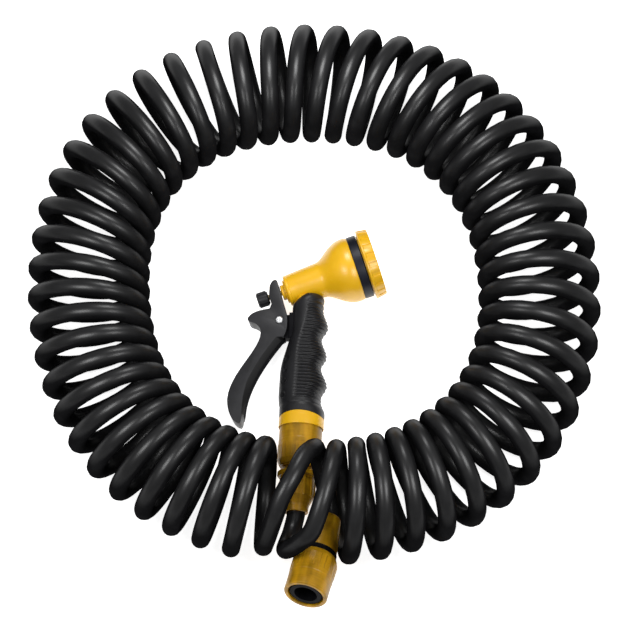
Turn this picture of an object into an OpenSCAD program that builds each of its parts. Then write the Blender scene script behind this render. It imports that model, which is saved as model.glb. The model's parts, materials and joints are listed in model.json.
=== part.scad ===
// Recoil garden hose: a springy coil laid in a ring, with a spray gun on one
// end and a snap-on tap connector on the other. Millimetres, +Z up, floor at 0.

/* [Hose and coil] */
// Outside diameter of the hose
hose_d = 13.5; // [12:0.1:13.6]
// Bore of the hose
hose_bore = 9; // [7:0.5:10]
// Outside diameter of one turn of the coil
coil_d = 92; // [88:1:94]
// Diameter of the ring that the middle of the coil follows
ring_d = 345; // [342:1:352]
// Turns between the first and the last outermost point
turns = 51; // [44:1:51]
// Angle that those turns cover round the ring
coil_arc = 349; // [345:1:350]
// Where the first turn would start on an even coil
coil_start = 273.2; // [272:0.1:274]
// Mean angle by which the inside of a turn runs ahead of its outside
lean_mean = 0.8; // [0:0.1:2]
// How far back the first turn is pulled open
first_open = 3.4; // [3:0.1:6]
// Extra lean of the first turn
first_lean = 2.8; // [2:0.1:3.2]
// How far the last turn is pulled in
last_pull = 5.5; // [4:0.1:6]
// Extra lean that dies out over the first turns
start_lean = 3.4; // [2:0.1:3.6]
// Extra lean that grows over the last turns
end_lean = -2.2; // [-2.4:0.1:0]

/* [Where things lie] */
// Ring centre from the origin, along X
ring_x = 3.9; // [0:0.1:10]
// Ring centre from the origin, along Y
ring_y = 58.5; // [50:0.1:70]
// Gun from the ring centre, along X
gun_x = -2.4; // [-5:0.1:0]
// Gun from the ring centre, along Y
gun_y = 12.1; // [8:0.1:14]
// Angle of the barrel from X
barrel_angle = 17; // [10:1:30]
// Angle by which the spray head is rolled up round the handle
gun_roll = 7; // [5:0.5:8]
// Angle by which the handle leans
handle_lean = 3.5; // [0:0.5:8]
// Hose end of the tap connector from the ring centre
tap_tail = [11.7, -175, 23]; // [-250:0.5:250]
// Heading of the tap connector's mouth
tap_heading = 254.7; // [250:0.1:258]
// Rise of the tap connector's mouth
tap_rise = 16; // [10:1:20]

/* [Barrel] */
// Radius of the barrel's rear end
barrel_r = 12; // [11.5:0.1:12.5]
// Radius of the barrel where the bell starts
neck_r = 13.7; // [13:0.1:14]
// Greatest radius of the bell
bell_r = 24.9; // [24.5:0.1:25.5]
// Radius of the bell's front edge
lip_r = 24.2; // [24:0.1:24.5]
// Rear face of the barrel behind the handle's axis
barrel_back = 18.5; // [18:0.1:20]
// Front face of the bell ahead of the handle's axis
barrel_front = 36.7; // [36:0.1:38]
// Wall of the bell
bell_wall = 3; // [2.5:0.1:3.5]
// Bore of the valve chamber
chamber_r = 8; // [7.5:0.1:8.5]
// Bore of the valve seat
seat_r = 4; // [3.5:0.1:4.4]
// Front of the valve chamber, where the seat is
seat_at = 8; // [7:0.1:9]

/* [Handle] */
// Radius of the tube inside the grip
handle_r = 10; // [9.5:0.1:10.2]
// Bore of the tube inside the grip
handle_bore = 6; // [5:0.1:7]
// Foot of the grip below the barrel's axis
grip_foot = 108.5; // [108:0.5:112]
// Top of the grip's arch below the barrel's axis
grip_top = 11.8; // [11.2:0.1:12.2]
// Half width of the slim top of the grip
grip_slim = 11.8; // [11.5:0.1:12.5]
// Half width of the palm swell
grip_palm = 18.4; // [17:0.1:19]
// Half thickness of the grip beside the barrel
grip_side = 14.8; // [14.5:0.1:15.5]
// Half width of the flared foot
grip_flare = 17; // [16:0.1:17.5]
// Height of the finger bumps
finger_bump = 4.2; // [3:0.1:5]
// Distance between finger bumps
finger_pitch = 23; // [21:0.5:24]
// Distance between the grip's ribs
rib_pitch = 3.5; // [3.2:0.1:5]
// Height of the grip's ribs
rib_h = 0.8; // [0.4:0.1:1]

/* [Trigger] */
// Pivot from the gun's centre, along X
pivot_x = -22.5; // [-23:0.1:-22]
// Pivot from the gun's centre, along Y
pivot_y = -31; // [-31.4:0.1:-30.5]
// Width of the trigger across the gun
trigger_w = 15; // [14:0.5:17]
// Width of the channel between its cheeks
trigger_gap = 8.6; // [8.2:0.1:9]
// Radius of the pivot pin
pin_r = 2; // [1.5:0.1:2.3]
// Radius of the pivot pin's heads
pin_head_r = 2.9; // [2.6:0.1:3.4]
// Height of the pivot pin's heads
pin_head_h = 1; // [0.6:0.1:1.5]

/* [Valve] */
// Radius of the valve stem
stem_r = 2; // [1.6:0.1:2.2]
// Radius of the flow knob
knob_r = 6; // [5.5:0.1:6.2]
// Length of the flow knob
knob_l = 9; // [8:0.5:10]
// Front of the flow knob behind the handle's axis
knob_at = 33; // [32.9:0.1:34]
// How far the gland stands out of the barrel
gland_out = 4; // [3:0.1:4.1]
// Wire diameter of the closing spring
spring_wire = 1.2; // [0.8:0.1:1.4]

/* [Spray head] */
// Radius of the dial's rim
dial_r = 27; // [26.5:0.1:28]
// How much smaller the rim is at its front
rim_taper = 1.4; // [1:0.1:1.6]
// Length of the dial's rim
rim_l = 8.6; // [8:0.1:10]
// Thickness of the black turret base
base_t = 6.9; // [6.5:0.1:8]
// Gap between turret base and rim
rim_gap = 1.2; // [0.8:0.1:1.5]
// Notches round the rim
notches = 22; // [12:1:24]
// Spray patterns round the dial
patterns = 8; // [6:1:8]
// Distance of the patterns from the dial's axis
pattern_at = 15.5; // [15:0.1:16]

/* [Snap connectors] */
// Radius of the release sleeve
sleeve_r = 16.2; // [16:0.1:16.6]
// Length of the release sleeve
sleeve_l = 33; // [32:0.5:33.5]
// Radius of the sleeve's open mouth
mouth_r = 13.1; // [13:0.1:13.2]
// Radius of the bore that takes the mating nipple
socket_r = 8.1; // [8:0.05:8.2]
// Depth of the socket
socket_l = 24; // [23:0.5:25]
// Start of the nut, from the mouth
nut_at = 37.5; // [37.5:0.5:40]
// Hose end of the nut, from the mouth
nut_end = 68.5; // [67:0.5:71]
// Wire diameter of the sleeve spring
sleeve_wire = 1.4; // [1:0.1:1.6]

/* [Clearances] */
// Radial running clearance of turning and sliding fits
fit = 0.06; // [0.03:0.01:0.09]
// Gap between moving pieces that pass each other
gap = 0.4; // [0.3:0.05:0.5]

/* [Hidden] */
$fn = 64;

yellow = "#f3b70c";
amber = "#b98a12";
black = "#1b1c1f";
charcoal = "#333437";
rubber = "#26262a";
steel = "#c9ccd0";
brass = "#c2a14e";

// Hose: winding radius, and height that leaves a flat of a tenth of the diameter
hose_r = hose_d / 2;
wind_r = (coil_d - hose_d) / 2;
coil_z = wind_r + hose_r - hose_d / 10;
pitch = coil_arc / turns;
// Small unevenness of the hand-laid coil: [cosine, sine] of 1, 2, 3 and 4 waves
ring_wobble = [[0, 0], [-0.7, -1.3], [0.6, 0.2], [-3, -0.5]];
pitch_wobble = [[-1.5, -2.3], [-1.1, -0.5], [0.5, -0.4]];
lean_wobble = [[-1.4, 0.7], [-0.7, 0], [-0.7, -0.3]];
start_turns = 8;
end_turns = 9;
// Parts of a turn at which the coil starts and ends
coil_u0 = 0.125;
coil_u1 = turns;
steps_per_turn = 8;
// Hand-laid points of the hose between each connector and the coil
gun_lead = [[-16, -184, 17], [-19.8, -198, 28], [-18.9, -205, 44], [-10.4, -204.8, 59.5]];
tap_lead = [[-28.2, -190.5, 71.5], [-22.5, -178, 82.5], [-14.2, -163, 86], [-6.4, -146, 80.5], [0.4, -136, 69],
    [2.6, -133.5, 57], [4.4, -137, 46.5], [6.8, -144.5, 35.5], [9.2, -154, 27.5], [11.4, -164.5, 23.3]];
hose_grip = 14;
hose_exit = 2.5;

// Gun: the dial's rim and the connector's sleeve both lie on the floor
base_front = barrel_front + base_t;
rim_at = base_front + rim_gap;
rim_front = rim_at + rim_l;
stem_arm = pivot_x * sin(barrel_angle) - pivot_y * cos(barrel_angle);
floor_gap = 0.1;
collar_l = 7.5;
spigot_l = 14;
spigot_out_r = handle_bore + 2;
skirt_l = 4;
skirt_r = sleeve_r + 0.2;
conn_at = grip_foot + collar_l + gap - skirt_l;
sleeve_rest = conn_at + sleeve_l - 2;
head_rise = (rim_at * cos(barrel_angle) + sleeve_rest * sin(handle_lean)) * sin(gun_roll);
gun_tilt = asin((dial_r * cos(gun_roll) - sleeve_r - floor_gap - head_rise)
    / (cos(gun_roll) * (rim_at * sin(barrel_angle) + sleeve_rest * cos(handle_lean))));
gun_z = sleeve_r + floor_gap - gun_frame(down_handle(sleeve_rest)).z;

// Snap connector: stations from its mouth, and the radii there
claw_z = 6.5;
claw_l = 4.5;
claw_arc = 25.2;
claws = 3;
cage_end = 13.2;
waist_at = 15.6;
shoulder_at = 30;
shoulder_end = 34;
thread_end = 52;
collet_step = 53;
collet_end = 60;
hose_end_l = 13;
cage_r = 12.2;
waist_r = 9.8;
neck_turn_r = 12;
thread_r = 11;
cone_r = 8.7;
waterway_r = 3;
seal_z = 22;
// Groove of the nipple's ring
groove_z = 16;
groove_w = 2.6;
ring_wire_r = 0.8;
ring_groove_r = 6.4;
claw_groove_r = 7;
nipple_r = socket_r - fit;
nipple_end = 21.9;

// ---------- helpers ----------

// A point of the gun's plane, d down the handle
function down_handle(d) = [-d * sin(handle_lean), -d * cos(handle_lean), 0];
// The same point once the gun is tilted and rolled
function gun_frame(p) = let (y = p.y * cos(gun_tilt), z = p.y * sin(gun_tilt))
    [p.x * cos(gun_roll) - z * sin(gun_roll), y, p.x * sin(gun_roll) + z * cos(gun_roll)];

// Ring of rectangular section round Z
module ring(r_in, r_out, z0, z1) {
    rotate_extrude() translate([r_in, z0]) square([r_out - r_in, z1 - z0]);
}

// Solid of revolution from points [radius, height]
module turned(points) {
    rotate_extrude() polygon(points);
}

// Ring of round section
module o_ring(mid_r, wire_r, z) {
    translate([0, 0, z]) rotate_extrude() translate([mid_r, 0]) circle(r = wire_r);
}

// Copies children round Z
module around(count) {
    for (i = [0:count - 1]) rotate([0, 0, i * 360 / count]) children();
}

// Points of a cubic curve, without its last one
function curve(a, b, c, d, n = 8) = [for (i = [0:n - 1]) let (t = i / n, s = 1 - t)
    s * s * s * a + 3 * s * s * t * b + 3 * s * t * t * c + t * t * t * d];

function unit(v) = v / norm(v);
// Smooth step from 0 to 1 between a and b
function ramp(a, b, x) = let (t = min(1, max(0, (x - a) / (b - a)))) t * t * (3 - 2 * t);
function harmonics(c, a, i = 0) =
    i == len(c) ? 0 : c[i][0] * cos((i + 1) * a) + c[i][1] * sin((i + 1) * a) + harmonics(c, a, i + 1);

// One unbroken tube along points; side(i) points across the tube at point i
module swept(points, sides_at, r, n = 6) {
    last = len(points) - 1;
    rings = [for (i = [0:last])
        let (along = unit(points[min(i + 1, last)] - points[max(i - 1, 0)]),
            across = unit(sides_at[i] - (sides_at[i] * along) * along),
            up = cross(along, across))
        [for (k = [0:n - 1]) let (a = (k + 0.5) * 360 / n)
            points[i] + r * (cos(a) * across + sin(a) * up)]];
    faces = concat(
        [for (i = [0:last - 1], k = [0:n - 1]) let (m = (k + 1) % n)
            [i * n + k, (i + 1) * n + k, i * n + m]],
        [for (i = [0:last - 1], k = [0:n - 1]) let (m = (k + 1) % n)
            [i * n + m, (i + 1) * n + k, (i + 1) * n + m]],
        [for (k = [1:n - 2]) [0, k, k + 1]],
        [for (k = [1:n - 2]) [last * n, last * n + k + 1, last * n + k]]);
    polyhedron([for (ring = rings) each ring], faces);
}

// Compression spring round Z, from z0 to z1, with closed end turns
module coil_spring(mid_r, wire, z0, z1, count, steps = 8) {
    rise = z1 - z0 - wire;
    points = [for (i = [0:count * steps]) let (u = i / steps)
        [mid_r * cos(360 * u), mid_r * sin(360 * u), z0 + wire / 2 + rise * i / (count * steps)]];
    swept(points, [for (p = points) [0, 0, 1]], wire / 2, 6);
}

// ---------- places ----------

module at_ring() {
    translate([ring_x, ring_y, 0]) children();
}

module at_gun() {
    at_ring() translate([gun_x, gun_y, gun_z]) rotate([gun_tilt, -gun_roll, 0]) children();
}

// Z runs forward along the barrel
module on_barrel() {
    at_gun() rotate([0, 0, barrel_angle]) rotate([0, 90, 0]) children();
}

// Z runs down the handle, X points to its front
module on_handle() {
    at_gun() rotate([0, 0, -handle_lean]) rotate([90, 0, 0]) children();
}

module at_pivot() {
    at_gun() translate([pivot_x, pivot_y, 0]) children();
}

// Z runs from the connector's mouth towards its hose
module on_gun_connector() {
    on_handle() translate([0, 0, conn_at]) children();
}

module on_tap_connector() {
    at_ring() translate(tap_tail) rotate([0, 90 + tap_rise, tap_heading - 180])
        translate([0, 0, -nut_end]) children();
}

// Points on the two connectors' axes, z from the mouth, in the ring's frame
function on_gun_axis(z) = [gun_x, gun_y, gun_z] + gun_frame(down_handle(conn_at + z));
function on_tap_axis(z) = tap_tail + (nut_end - z)
    * [cos(tap_rise) * cos(tap_heading), cos(tap_rise) * sin(tap_heading), sin(tap_rise)];

// ---------- hose ----------

function first(u) = pow(max(0, 1 - u), 1.5);
function last(u) = ramp(turns - 0.7, turns, u);
function turn_azimuth(u) = coil_start + pitch * u + harmonics(pitch_wobble, 360 * u / turns)
    - first_open * first(u);
function lean(u) = lean_mean + harmonics(lean_wobble, turn_azimuth(u))
    + first_lean * first(u) + start_lean * max(0, 1 - u / start_turns)
    + end_lean * max(0, 1 - (turns - u) / end_turns);
function coil_azimuth(u) = turn_azimuth(u) + lean(u) * (1 - cos(360 * u)) / 2;
function coil_point(u) = let (a = coil_azimuth(u),
        r = ring_d / 2 + harmonics(ring_wobble, a) + wind_r * cos(360 * u) - last_pull * last(u))
    [r * cos(a), r * sin(a), coil_z + wind_r * sin(360 * u)];

coil_steps = (coil_u1 - coil_u0) * steps_per_turn;
hose_route = concat([on_gun_axis(nut_end - hose_grip), on_gun_axis(nut_end + hose_exit)], gun_lead,
    [for (i = [0:coil_steps]) coil_point(coil_u0 + i / steps_per_turn)],
    tap_lead, [on_tap_axis(nut_end + hose_exit), on_tap_axis(nut_end - hose_grip)]);

// Least distance between neighbouring turns, surface to surface
function turn_gap(u) = min([for (v = [0.9:0.025:1.1]) norm(coil_point(u) - coil_point(u + v))]) - hose_d;
echo(least_gap_between_turns = min([for (u = [coil_u0:1 / 8:coil_u1 - 1.1]) turn_gap(u)]));
function route_length(p) = [for (i = [1:len(p) - 1]) norm(p[i] - p[i - 1])] * [for (i = [1:len(p) - 1]) 1];
coil_curve = [for (i = [0:(coil_u1 - coil_u0) * 24]) coil_point(coil_u0 + i / 24)];
echo(hose_length = route_length(coil_curve) + route_length(concat([hose_route[1]], gun_lead))
    + route_length(concat(tap_lead, [on_tap_axis(nut_end)])));

module hose_coil() {
    color(black) at_ring() difference() {
        swept(hose_route, [for (p = hose_route) [-p.y, p.x, 0]], hose_r);
        translate([-ring_d, -ring_d, -coil_d]) cube([2 * ring_d, 2 * ring_d, coil_d]);
    }
}

// The end of the hose that is pushed over the barb, inside the nut
module hose_end() {
    color(black) ring(hose_bore / 2, hose_r, nut_end - hose_grip - hose_end_l, nut_end - hose_grip);
}

module hose_end_gun() { on_gun_connector() hose_end(); }
module hose_end_tap() { on_tap_connector() hose_end(); }

// ---------- gun ----------

bell_at = 32;
bell_edge = curve([neck_r, seat_at + 1], [neck_r + 0.8, 15], [bell_r - 0.5, 21], [bell_r, bell_at], 12);
bell_bore_r = bell_r - bell_wall - 1.5;

module barrel_outside() {
    turned(concat([[0, -barrel_back], [barrel_r - 0.8, -barrel_back], [barrel_r, -barrel_back + 0.8]],
        bell_edge, [[bell_r, bell_at], [lip_r, barrel_front], [0, barrel_front]]));
}

module gun_body() {
    color(yellow) difference() {
        union() {
            on_barrel() barrel_outside();
            on_handle() cylinder(r = handle_r, h = grip_foot);
        }
        on_barrel() {
            // valve chamber, seat and hollow bell
            translate([0, 0, -barrel_back - 1]) cylinder(r = chamber_r, h = barrel_back + 1 + seat_at);
            cylinder(r = seat_r, h = barrel_front);
            turned([[0, 14], [seat_r, 14], [bell_bore_r, bell_at - 5], [bell_bore_r, barrel_front + 1],
                [0, barrel_front + 1]]);
        }
        on_handle() {
            cylinder(r = handle_bore, h = grip_foot + 1);
            translate([0, 0, grip_foot - spigot_l]) cylinder(r = spigot_out_r, h = spigot_l + 1);
        }
    }
}

bumps = 3;
bumps_from = 22;
crest = 0.62;
// Swell of one finger bump, steeper towards the foot
function bump(d) = let (p = (d - bumps_from) / finger_pitch, q = p - floor(p))
    p < 0 || p > bumps ? 0
    : q < crest ? (1 - cos(180 * q / crest)) / 2 : (1 + cos(180 * (q - crest) / (1 - crest))) / 2;
// The grip's arch follows the barrel, higher in front than behind, and evens out below it
arch_end = grip_top + 6.1;
function grip_arch(d) = sqrt(max(0, 1 - pow(max(0, (arch_end - d) / (arch_end + 0.1 - grip_top)), 2)));
function arch_shear(d, x) = x * tan(barrel_angle + handle_lean)
    * (x > 0 ? 1 - ramp(arch_end, arch_end + 4.1, d) : 0.7 - 0.7 * ramp(arch_end, arch_end + 16, d));
flare_at = grip_foot - 13.5;
flare_end = grip_foot - 4;
function grip_rear(d) = grip_slim * grip_arch(d) + (grip_palm - grip_slim) * ramp(36, 74, d)
    - (grip_palm - grip_flare) * ramp(flare_at - 5, flare_end, d);
function grip_front(d) = grip_slim * grip_arch(d) + finger_bump * bump(d) + 2 * ramp(50, flare_at, d)
    + (grip_flare - grip_slim - 2) * ramp(flare_at, flare_end, d);
function grip_half(d) = grip_side * (0.7 + 0.3 * grip_arch(d)) - 1.2 * ramp(14, 40, d)
    + (grip_flare - grip_side + 1.2) * ramp(60, flare_end, d);
ribs_from = 20.5;
ribs_to = flare_at;
function rib(d, a) = d < ribs_from || d > ribs_to ? 0
    : rib_h * (cos(360 * (d - ribs_from) / rib_pitch) - 1) / 2 * ramp(-0.35, 0.1, cos(a));

module grip_cover() {
    n = 28;
    step = rib_pitch / 2;
    levels = concat([for (drop = [0, 0.5, 1.7, 3.5, arch_end - grip_top]) grip_top + drop],
        [for (d = [ribs_from:step:ribs_to + step]) d], [for (rise = [10.5, 6.5, 2.5, 0]) grip_foot - rise]);
    rings = [for (d = levels) [for (k = [0:n - 1])
        let (a = k * 360 / n, w = rib(d, a), x = ((cos(a) > 0 ? grip_front(d) : grip_rear(d)) + w) * cos(a))
        [x, (grip_half(d) + w) * sin(a), d - arch_shear(d, x)]]];
    last = len(levels) - 1;
    faces = concat(
        [for (i = [0:last - 1], k = [0:n - 1]) let (m = (k + 1) % n) [i * n + k, (i + 1) * n + k, i * n + m]],
        [for (i = [0:last - 1], k = [0:n - 1]) let (m = (k + 1) % n)
            [i * n + m, (i + 1) * n + k, (i + 1) * n + m]],
        [[for (k = [0:n - 1]) k]], [[for (k = [n - 1:-1:0]) last * n + k]]);
    color(rubber) difference() {
        on_handle() polyhedron([for (ring = rings) each ring], faces);
        on_handle() translate([0, 0, -1]) cylinder(r = handle_r, h = grip_foot + 2);
        on_barrel() barrel_outside();
        at_pivot() linear_extrude(bracket_w + 0.1, center = true) offset(0.05) bracket_foot(5.5);
    }
}

bracket_w = trigger_w + 2 * gap;
bracket_back = 18;
bracket_foot_y = [-14, 5.5];
// Outline of the bracket's foot, sunk in the grip
module bracket_foot(front) {
    translate([front, bracket_foot_y[0]])
        square([bracket_back - front, bracket_foot_y[1] - bracket_foot_y[0]]);
}

module pivot_bracket() {
    side_play = 0.3;
    lug_r = 4.6;
    color(black) difference() {
        at_pivot() union() {
            linear_extrude(trigger_gap - 2 * side_play, center = true)
                polygon(concat([for (a = [100:16:260]) lug_r * [cos(a), sin(a)]],
                    [[4, -13.5], [bracket_back, bracket_foot_y[0]],
                    [bracket_back, bracket_foot_y[1]], [4, 5]]));
            linear_extrude(bracket_w, center = true) bracket_foot(7.7);
        }
        on_handle() translate([0, 0, -1]) cylinder(r = handle_r, h = grip_foot);
        at_pivot() cylinder(r = pin_r, h = trigger_w, center = true);
    }
}

module pivot_pin() {
    half = trigger_w / 2 + 0.2;
    color(steel) at_pivot() {
        cylinder(r = pin_r, h = 2 * half, center = true);
        for (s = [0, 1]) mirror([0, 0, s]) translate([0, 0, half])
            cylinder(r1 = pin_head_r, r2 = pin_head_r - 0.3, h = pin_head_h);
    }
}

// Side outline of the trigger, from its top tip round by the thumb hook and the tail
module trigger_outline() {
    polygon(concat(
        curve([-1.4, 30.5], [-1.5, 34], [-6, 34], [-7.6, 27.5]),
        [[-7.6, 27.5], [-8, 19.5], [-6, 13.4], [-7.4, 9.8]],
        curve([-8.4, 9.6], [-15, 9], [-21.5, 7.5], [-24, 3.2], 6),
        curve([-24, 3.2], [-25.4, 0.4], [-21.5, -0.8], [-19, -1.6], 5),
        curve([-19, -1.6], [-15.6, -3.4], [-14.2, -6.5], [-14.2, -9.5], 5),
        curve([-14.2, -9.5], [-14.5, -23], [-38.2, -41], [-39.4, -61], 12),
        curve([-39.4, -61], [-39.7, -72], [-35, -79.6], [-30.2, -80.4]),
        curve([-30.2, -80.4], [-27.6, -79], [-27, -75], [-26, -66], 6),
        curve([-26, -66], [-22, -44], [-4, -22], [3, -13.5], 12),
        curve([3, -13.5], [7, -8], [7, 3], [4, 8])));
}

// The channel between its cheeks, open towards the grip
module trigger_channel() {
    slot_w = 9.4;
    polygon(concat([[12, 14.5], [-4, 14.5], [-7.2, 8]],
        curve([-9, -6], [-10, -22], [-34.7, -43], [-35.9, -62], 12),
        [[-35.9, -62], [-33, -74], [-10, -76], [12, -10]]));
    // slot for the valve stem
    rotate(barrel_angle) translate([-14, stem_arm - 4.9]) square([34, slot_w]);
}

module trigger_lever() {
    color(charcoal) at_pivot() difference() {
        linear_extrude(trigger_w, center = true) trigger_outline();
        linear_extrude(trigger_gap, center = true) trigger_channel();
        cylinder(r = pin_r + fit, h = trigger_w + 2, center = true);
    }
}

// ---------- valve ----------

gland_r = 6;
gland_in = 12;
gland_seal_r = 4;
gland_seal_l = 3;
plunger_at = 3;
plunger_r = 5.4;
plunger_t = 1.6;

module rear_gland() {
    color(yellow) on_barrel() difference() {
        turned([[0, -barrel_back - gland_out], [gland_r - 0.6, -barrel_back - gland_out],
            [gland_r, -barrel_back - gland_out + 0.6], [gland_r, -barrel_back - 1.2],
            [chamber_r + 1, -barrel_back - 1.2], [chamber_r + 1, -barrel_back], [chamber_r, -barrel_back],
            [chamber_r, -gland_in], [0, -gland_in]]);
        translate([0, 0, -40]) cylinder(r = stem_r + fit, h = 40);
        translate([0, 0, -gland_in - gland_seal_l]) cylinder(r = gland_seal_r, h = gland_seal_l + 1);
    }
}

module gland_seal() {
    color(black) on_barrel() ring(stem_r + fit, gland_seal_r, -gland_in - gland_seal_l, -gland_in - 0.2);
}

module valve_stem() {
    color(brass) on_barrel() {
        translate([0, 0, -knob_at - knob_l + 1.8]) cylinder(r = stem_r, h = knob_at + knob_l + seat_at - 1.8);
        translate([0, 0, plunger_at]) cylinder(r = plunger_r, h = plunger_t);
        translate([0, 0, seat_at]) cylinder(r = seat_r - 1, h = plunger_t);
        translate([0, 0, -knob_at - 3]) cylinder(r = stem_r + 0.8, h = 1);
    }
}

module valve_washer() {
    color(black) on_barrel() ring(stem_r, plunger_r + 1, plunger_at + plunger_t, seat_at);
}

module closing_spring() {
    color(steel) on_barrel() coil_spring(plunger_r + 0.2, spring_wire, -gland_in, plunger_at, 6);
}

module flow_knob() {
    color(black) on_barrel() difference() {
        turned([[0, -knob_at - knob_l], [knob_r - 0.8, -knob_at - knob_l],
            [knob_r, -knob_at - knob_l + 0.8], [knob_r, -knob_at - 1.2], [knob_r - 1, -knob_at],
            [stem_r + fit, -knob_at], [stem_r + fit, -knob_at - 1.8], [stem_r + 1, -knob_at - 1.8],
            [stem_r + 1, -knob_at - 3.2], [stem_r + fit, -knob_at - 3.2],
            [stem_r + fit, -knob_at - knob_l + 1.6], [0, -knob_at - knob_l + 1.6]]);
        around(14) translate([knob_r, 0, -knob_at - knob_l - 1])
            cylinder(r = 0.6, h = knob_l - 1);
    }
}

// ---------- spray head ----------

rim_front_r = dial_r - rim_taper;
face_r = rim_front_r - 2.2;
floor_at = base_front + gap;
plate_at = rim_front - 4.6;
plate_t = 2.6;
plate_step = 1.4;
detent_at = bell_r - 4.4;
ball_r = 1.8;
ball_out = 0.9;
screw_r = 2;
outlet_r = 3;
outlet_seal_r = 4.6;

module turret_base() {
    color(black) on_barrel() difference() {
        union() {
            ring(0, lip_r + 0.1, barrel_front, base_front);
            ring(0, bell_bore_r, barrel_front - 3.5, barrel_front + 1);
            ring(0, 6, barrel_front - 8, barrel_front + 1);
        }
        translate([0, 0, barrel_front - 6]) cylinder(r = screw_r, h = base_t + 7);
        rotate([0, 0, 180]) translate([pattern_at, 0, 0]) {
            translate([0, 0, barrel_front - 4]) cylinder(r = outlet_r, h = base_t + 5);
            translate([0, 0, base_front - 2]) cylinder(r = outlet_seal_r, h = 3);
        }
        translate([detent_at, 0, barrel_front + 1]) cylinder(r = ball_r + 0.1, h = base_t);
    }
}

module outlet_seal() {
    color(rubber) on_barrel() rotate([0, 0, 180]) translate([pattern_at, 0, 0])
        ring(outlet_r, outlet_seal_r, base_front - 2, floor_at - 0.1);
}

module detent_ball() {
    color(steel) on_barrel()
        translate([detent_at, 0, base_front - ball_r + ball_out]) sphere(r = ball_r, $fn = 32);
}

module detent_spring() {
    top = base_front - 2 * ball_r + ball_out + 0.05;
    color(steel) on_barrel() translate([detent_at, 0, 0])
        coil_spring(1.2, 0.5, barrel_front + 1, top, 4);
}

module spray_dial() {
    track_r = 2.2;
    jet_r = 2.2;
    color(yellow) on_barrel() difference() {
        turned([[0, floor_at], [face_r - 0.2, floor_at], [face_r - 0.2, rim_at], [dial_r - 0.5, rim_at],
            [dial_r, rim_at + 0.5], [rim_front_r, rim_front - 0.7], [rim_front_r - 0.6, rim_front],
            [face_r + 0.3, rim_front], [face_r, rim_front - 1], [face_r, plate_at], [0, plate_at]]);
        // track of the detent ball, screw hole and one waterway for each pattern
        ring(detent_at - track_r, detent_at + track_r, floor_at - 1, floor_at + 1);
        translate([0, 0, floor_at - 1]) cylinder(r = screw_r + fit, h = 12);
        around(patterns) translate([pattern_at, 0, floor_at - 1]) cylinder(r = jet_r, h = 12);
        // finger notches
        around(notches) translate([dial_r - 0.7, 0, rim_at + 2])
            rotate([0, -atan(rim_taper / rim_l), 0]) translate([-0.4, -2, 0]) cube([3, 4, rim_l]);
    }
}

// Holes of one spray pattern, numbered round the dial
module pattern_holes(i) {
    if (i == 0) circle(r = 1.6);
    if (i == 1) for (x = [-3:1.5:3], y = [-3:1.5:3]) if (norm([x, y]) < 3.5) translate([x, y]) circle(r = 0.4);
    if (i == 2) square([0.9, 7], center = true);
    if (i == 3) for (a = [0:60:300]) rotate(a) translate([2.6, 0]) circle(r = 0.4);
    if (i == 4) difference() { circle(r = 2.6); circle(r = 1.9); translate([-3, -0.4]) square([6, 0.8]); }
    if (i == 5) for (a = [0:72:288]) rotate(a) translate([2.3, 0]) circle(r = 0.8);
    if (i == 6) square([5, 0.8], center = true);
    if (i == 7) for (x = [-2, 0, 2]) translate([0, x]) circle(r = 0.7);
}

module face_plate() {
    color(black) on_barrel() difference() {
        turned([[screw_r + 1, plate_at], [face_r - 0.1, plate_at], [face_r - 0.1, plate_at + plate_t - 0.6],
            [face_r - 0.7, plate_at + plate_t], [6.2, plate_at + plate_t], [6.2, plate_at + plate_step],
            [screw_r + 1, plate_at + plate_step]]);
        for (i = [0:patterns - 1]) rotate([0, 0, i * 360 / patterns])
            translate([pattern_at, 0, plate_at - 1]) {
                linear_extrude(plate_t + 2) pattern_holes(i);
                cylinder(r = 3.7, h = 2.2);
            }
    }
}

module dial_screw() {
    head_at = plate_at + plate_step + 0.1;
    head_r = 4.6;
    color(steel) on_barrel() difference() {
        union() {
            translate([0, 0, barrel_front - 2]) cylinder(r = screw_r, h = head_at - barrel_front + 3);
            turned([[0, head_at], [head_r, head_at], [head_r, head_at + 1.2], [head_r - 1, head_at + 2.2],
                [0, head_at + 2.2]]);
        }
        translate([0, 0, head_at + 1.2]) for (a = [0, 90]) rotate([0, 0, a]) cube([5, 0.9, 3], center = true);
    }
}

// ---------- nipple of the gun ----------

module hose_adaptor() {
    color(yellow) on_handle() difference() {
        union() {
            ring(0, spigot_out_r, grip_foot - spigot_l, grip_foot + 1);
            turned([[0, grip_foot], [grip_flare - 0.4, grip_foot], [grip_flare, grip_foot + 0.5],
                [grip_flare, grip_foot + collar_l - 0.3], [grip_flare - 0.3, grip_foot + collar_l],
                [skirt_r, grip_foot + collar_l], [skirt_r, grip_foot + collar_l - skirt_l],
                [0, grip_foot + collar_l - skirt_l]]);
            translate([0, 0, conn_at]) turned([[0, -gap - 1], [socket_r, -gap - 1], [socket_r, claw_z - 0.3],
                [claw_groove_r, claw_z - 0.3], [claw_groove_r, claw_z + claw_l + 0.3],
                [nipple_r, claw_z + claw_l + 0.8], [nipple_r, groove_z], [ring_groove_r, groove_z],
                [ring_groove_r, groove_z + groove_w], [nipple_r, groove_z + groove_w],
                [nipple_r, nipple_end - 1], [nipple_r - 1, nipple_end], [0, nipple_end]]);
        }
        translate([0, 0, grip_foot - spigot_l - 1]) cylinder(r = seat_r, h = 60);
    }
}

module adaptor_o_ring() {
    color(black) on_gun_connector() o_ring(ring_groove_r + ring_wire_r, ring_wire_r, groove_z + groove_w / 2);
}

// ---------- snap connector, in its own frame ----------

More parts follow.
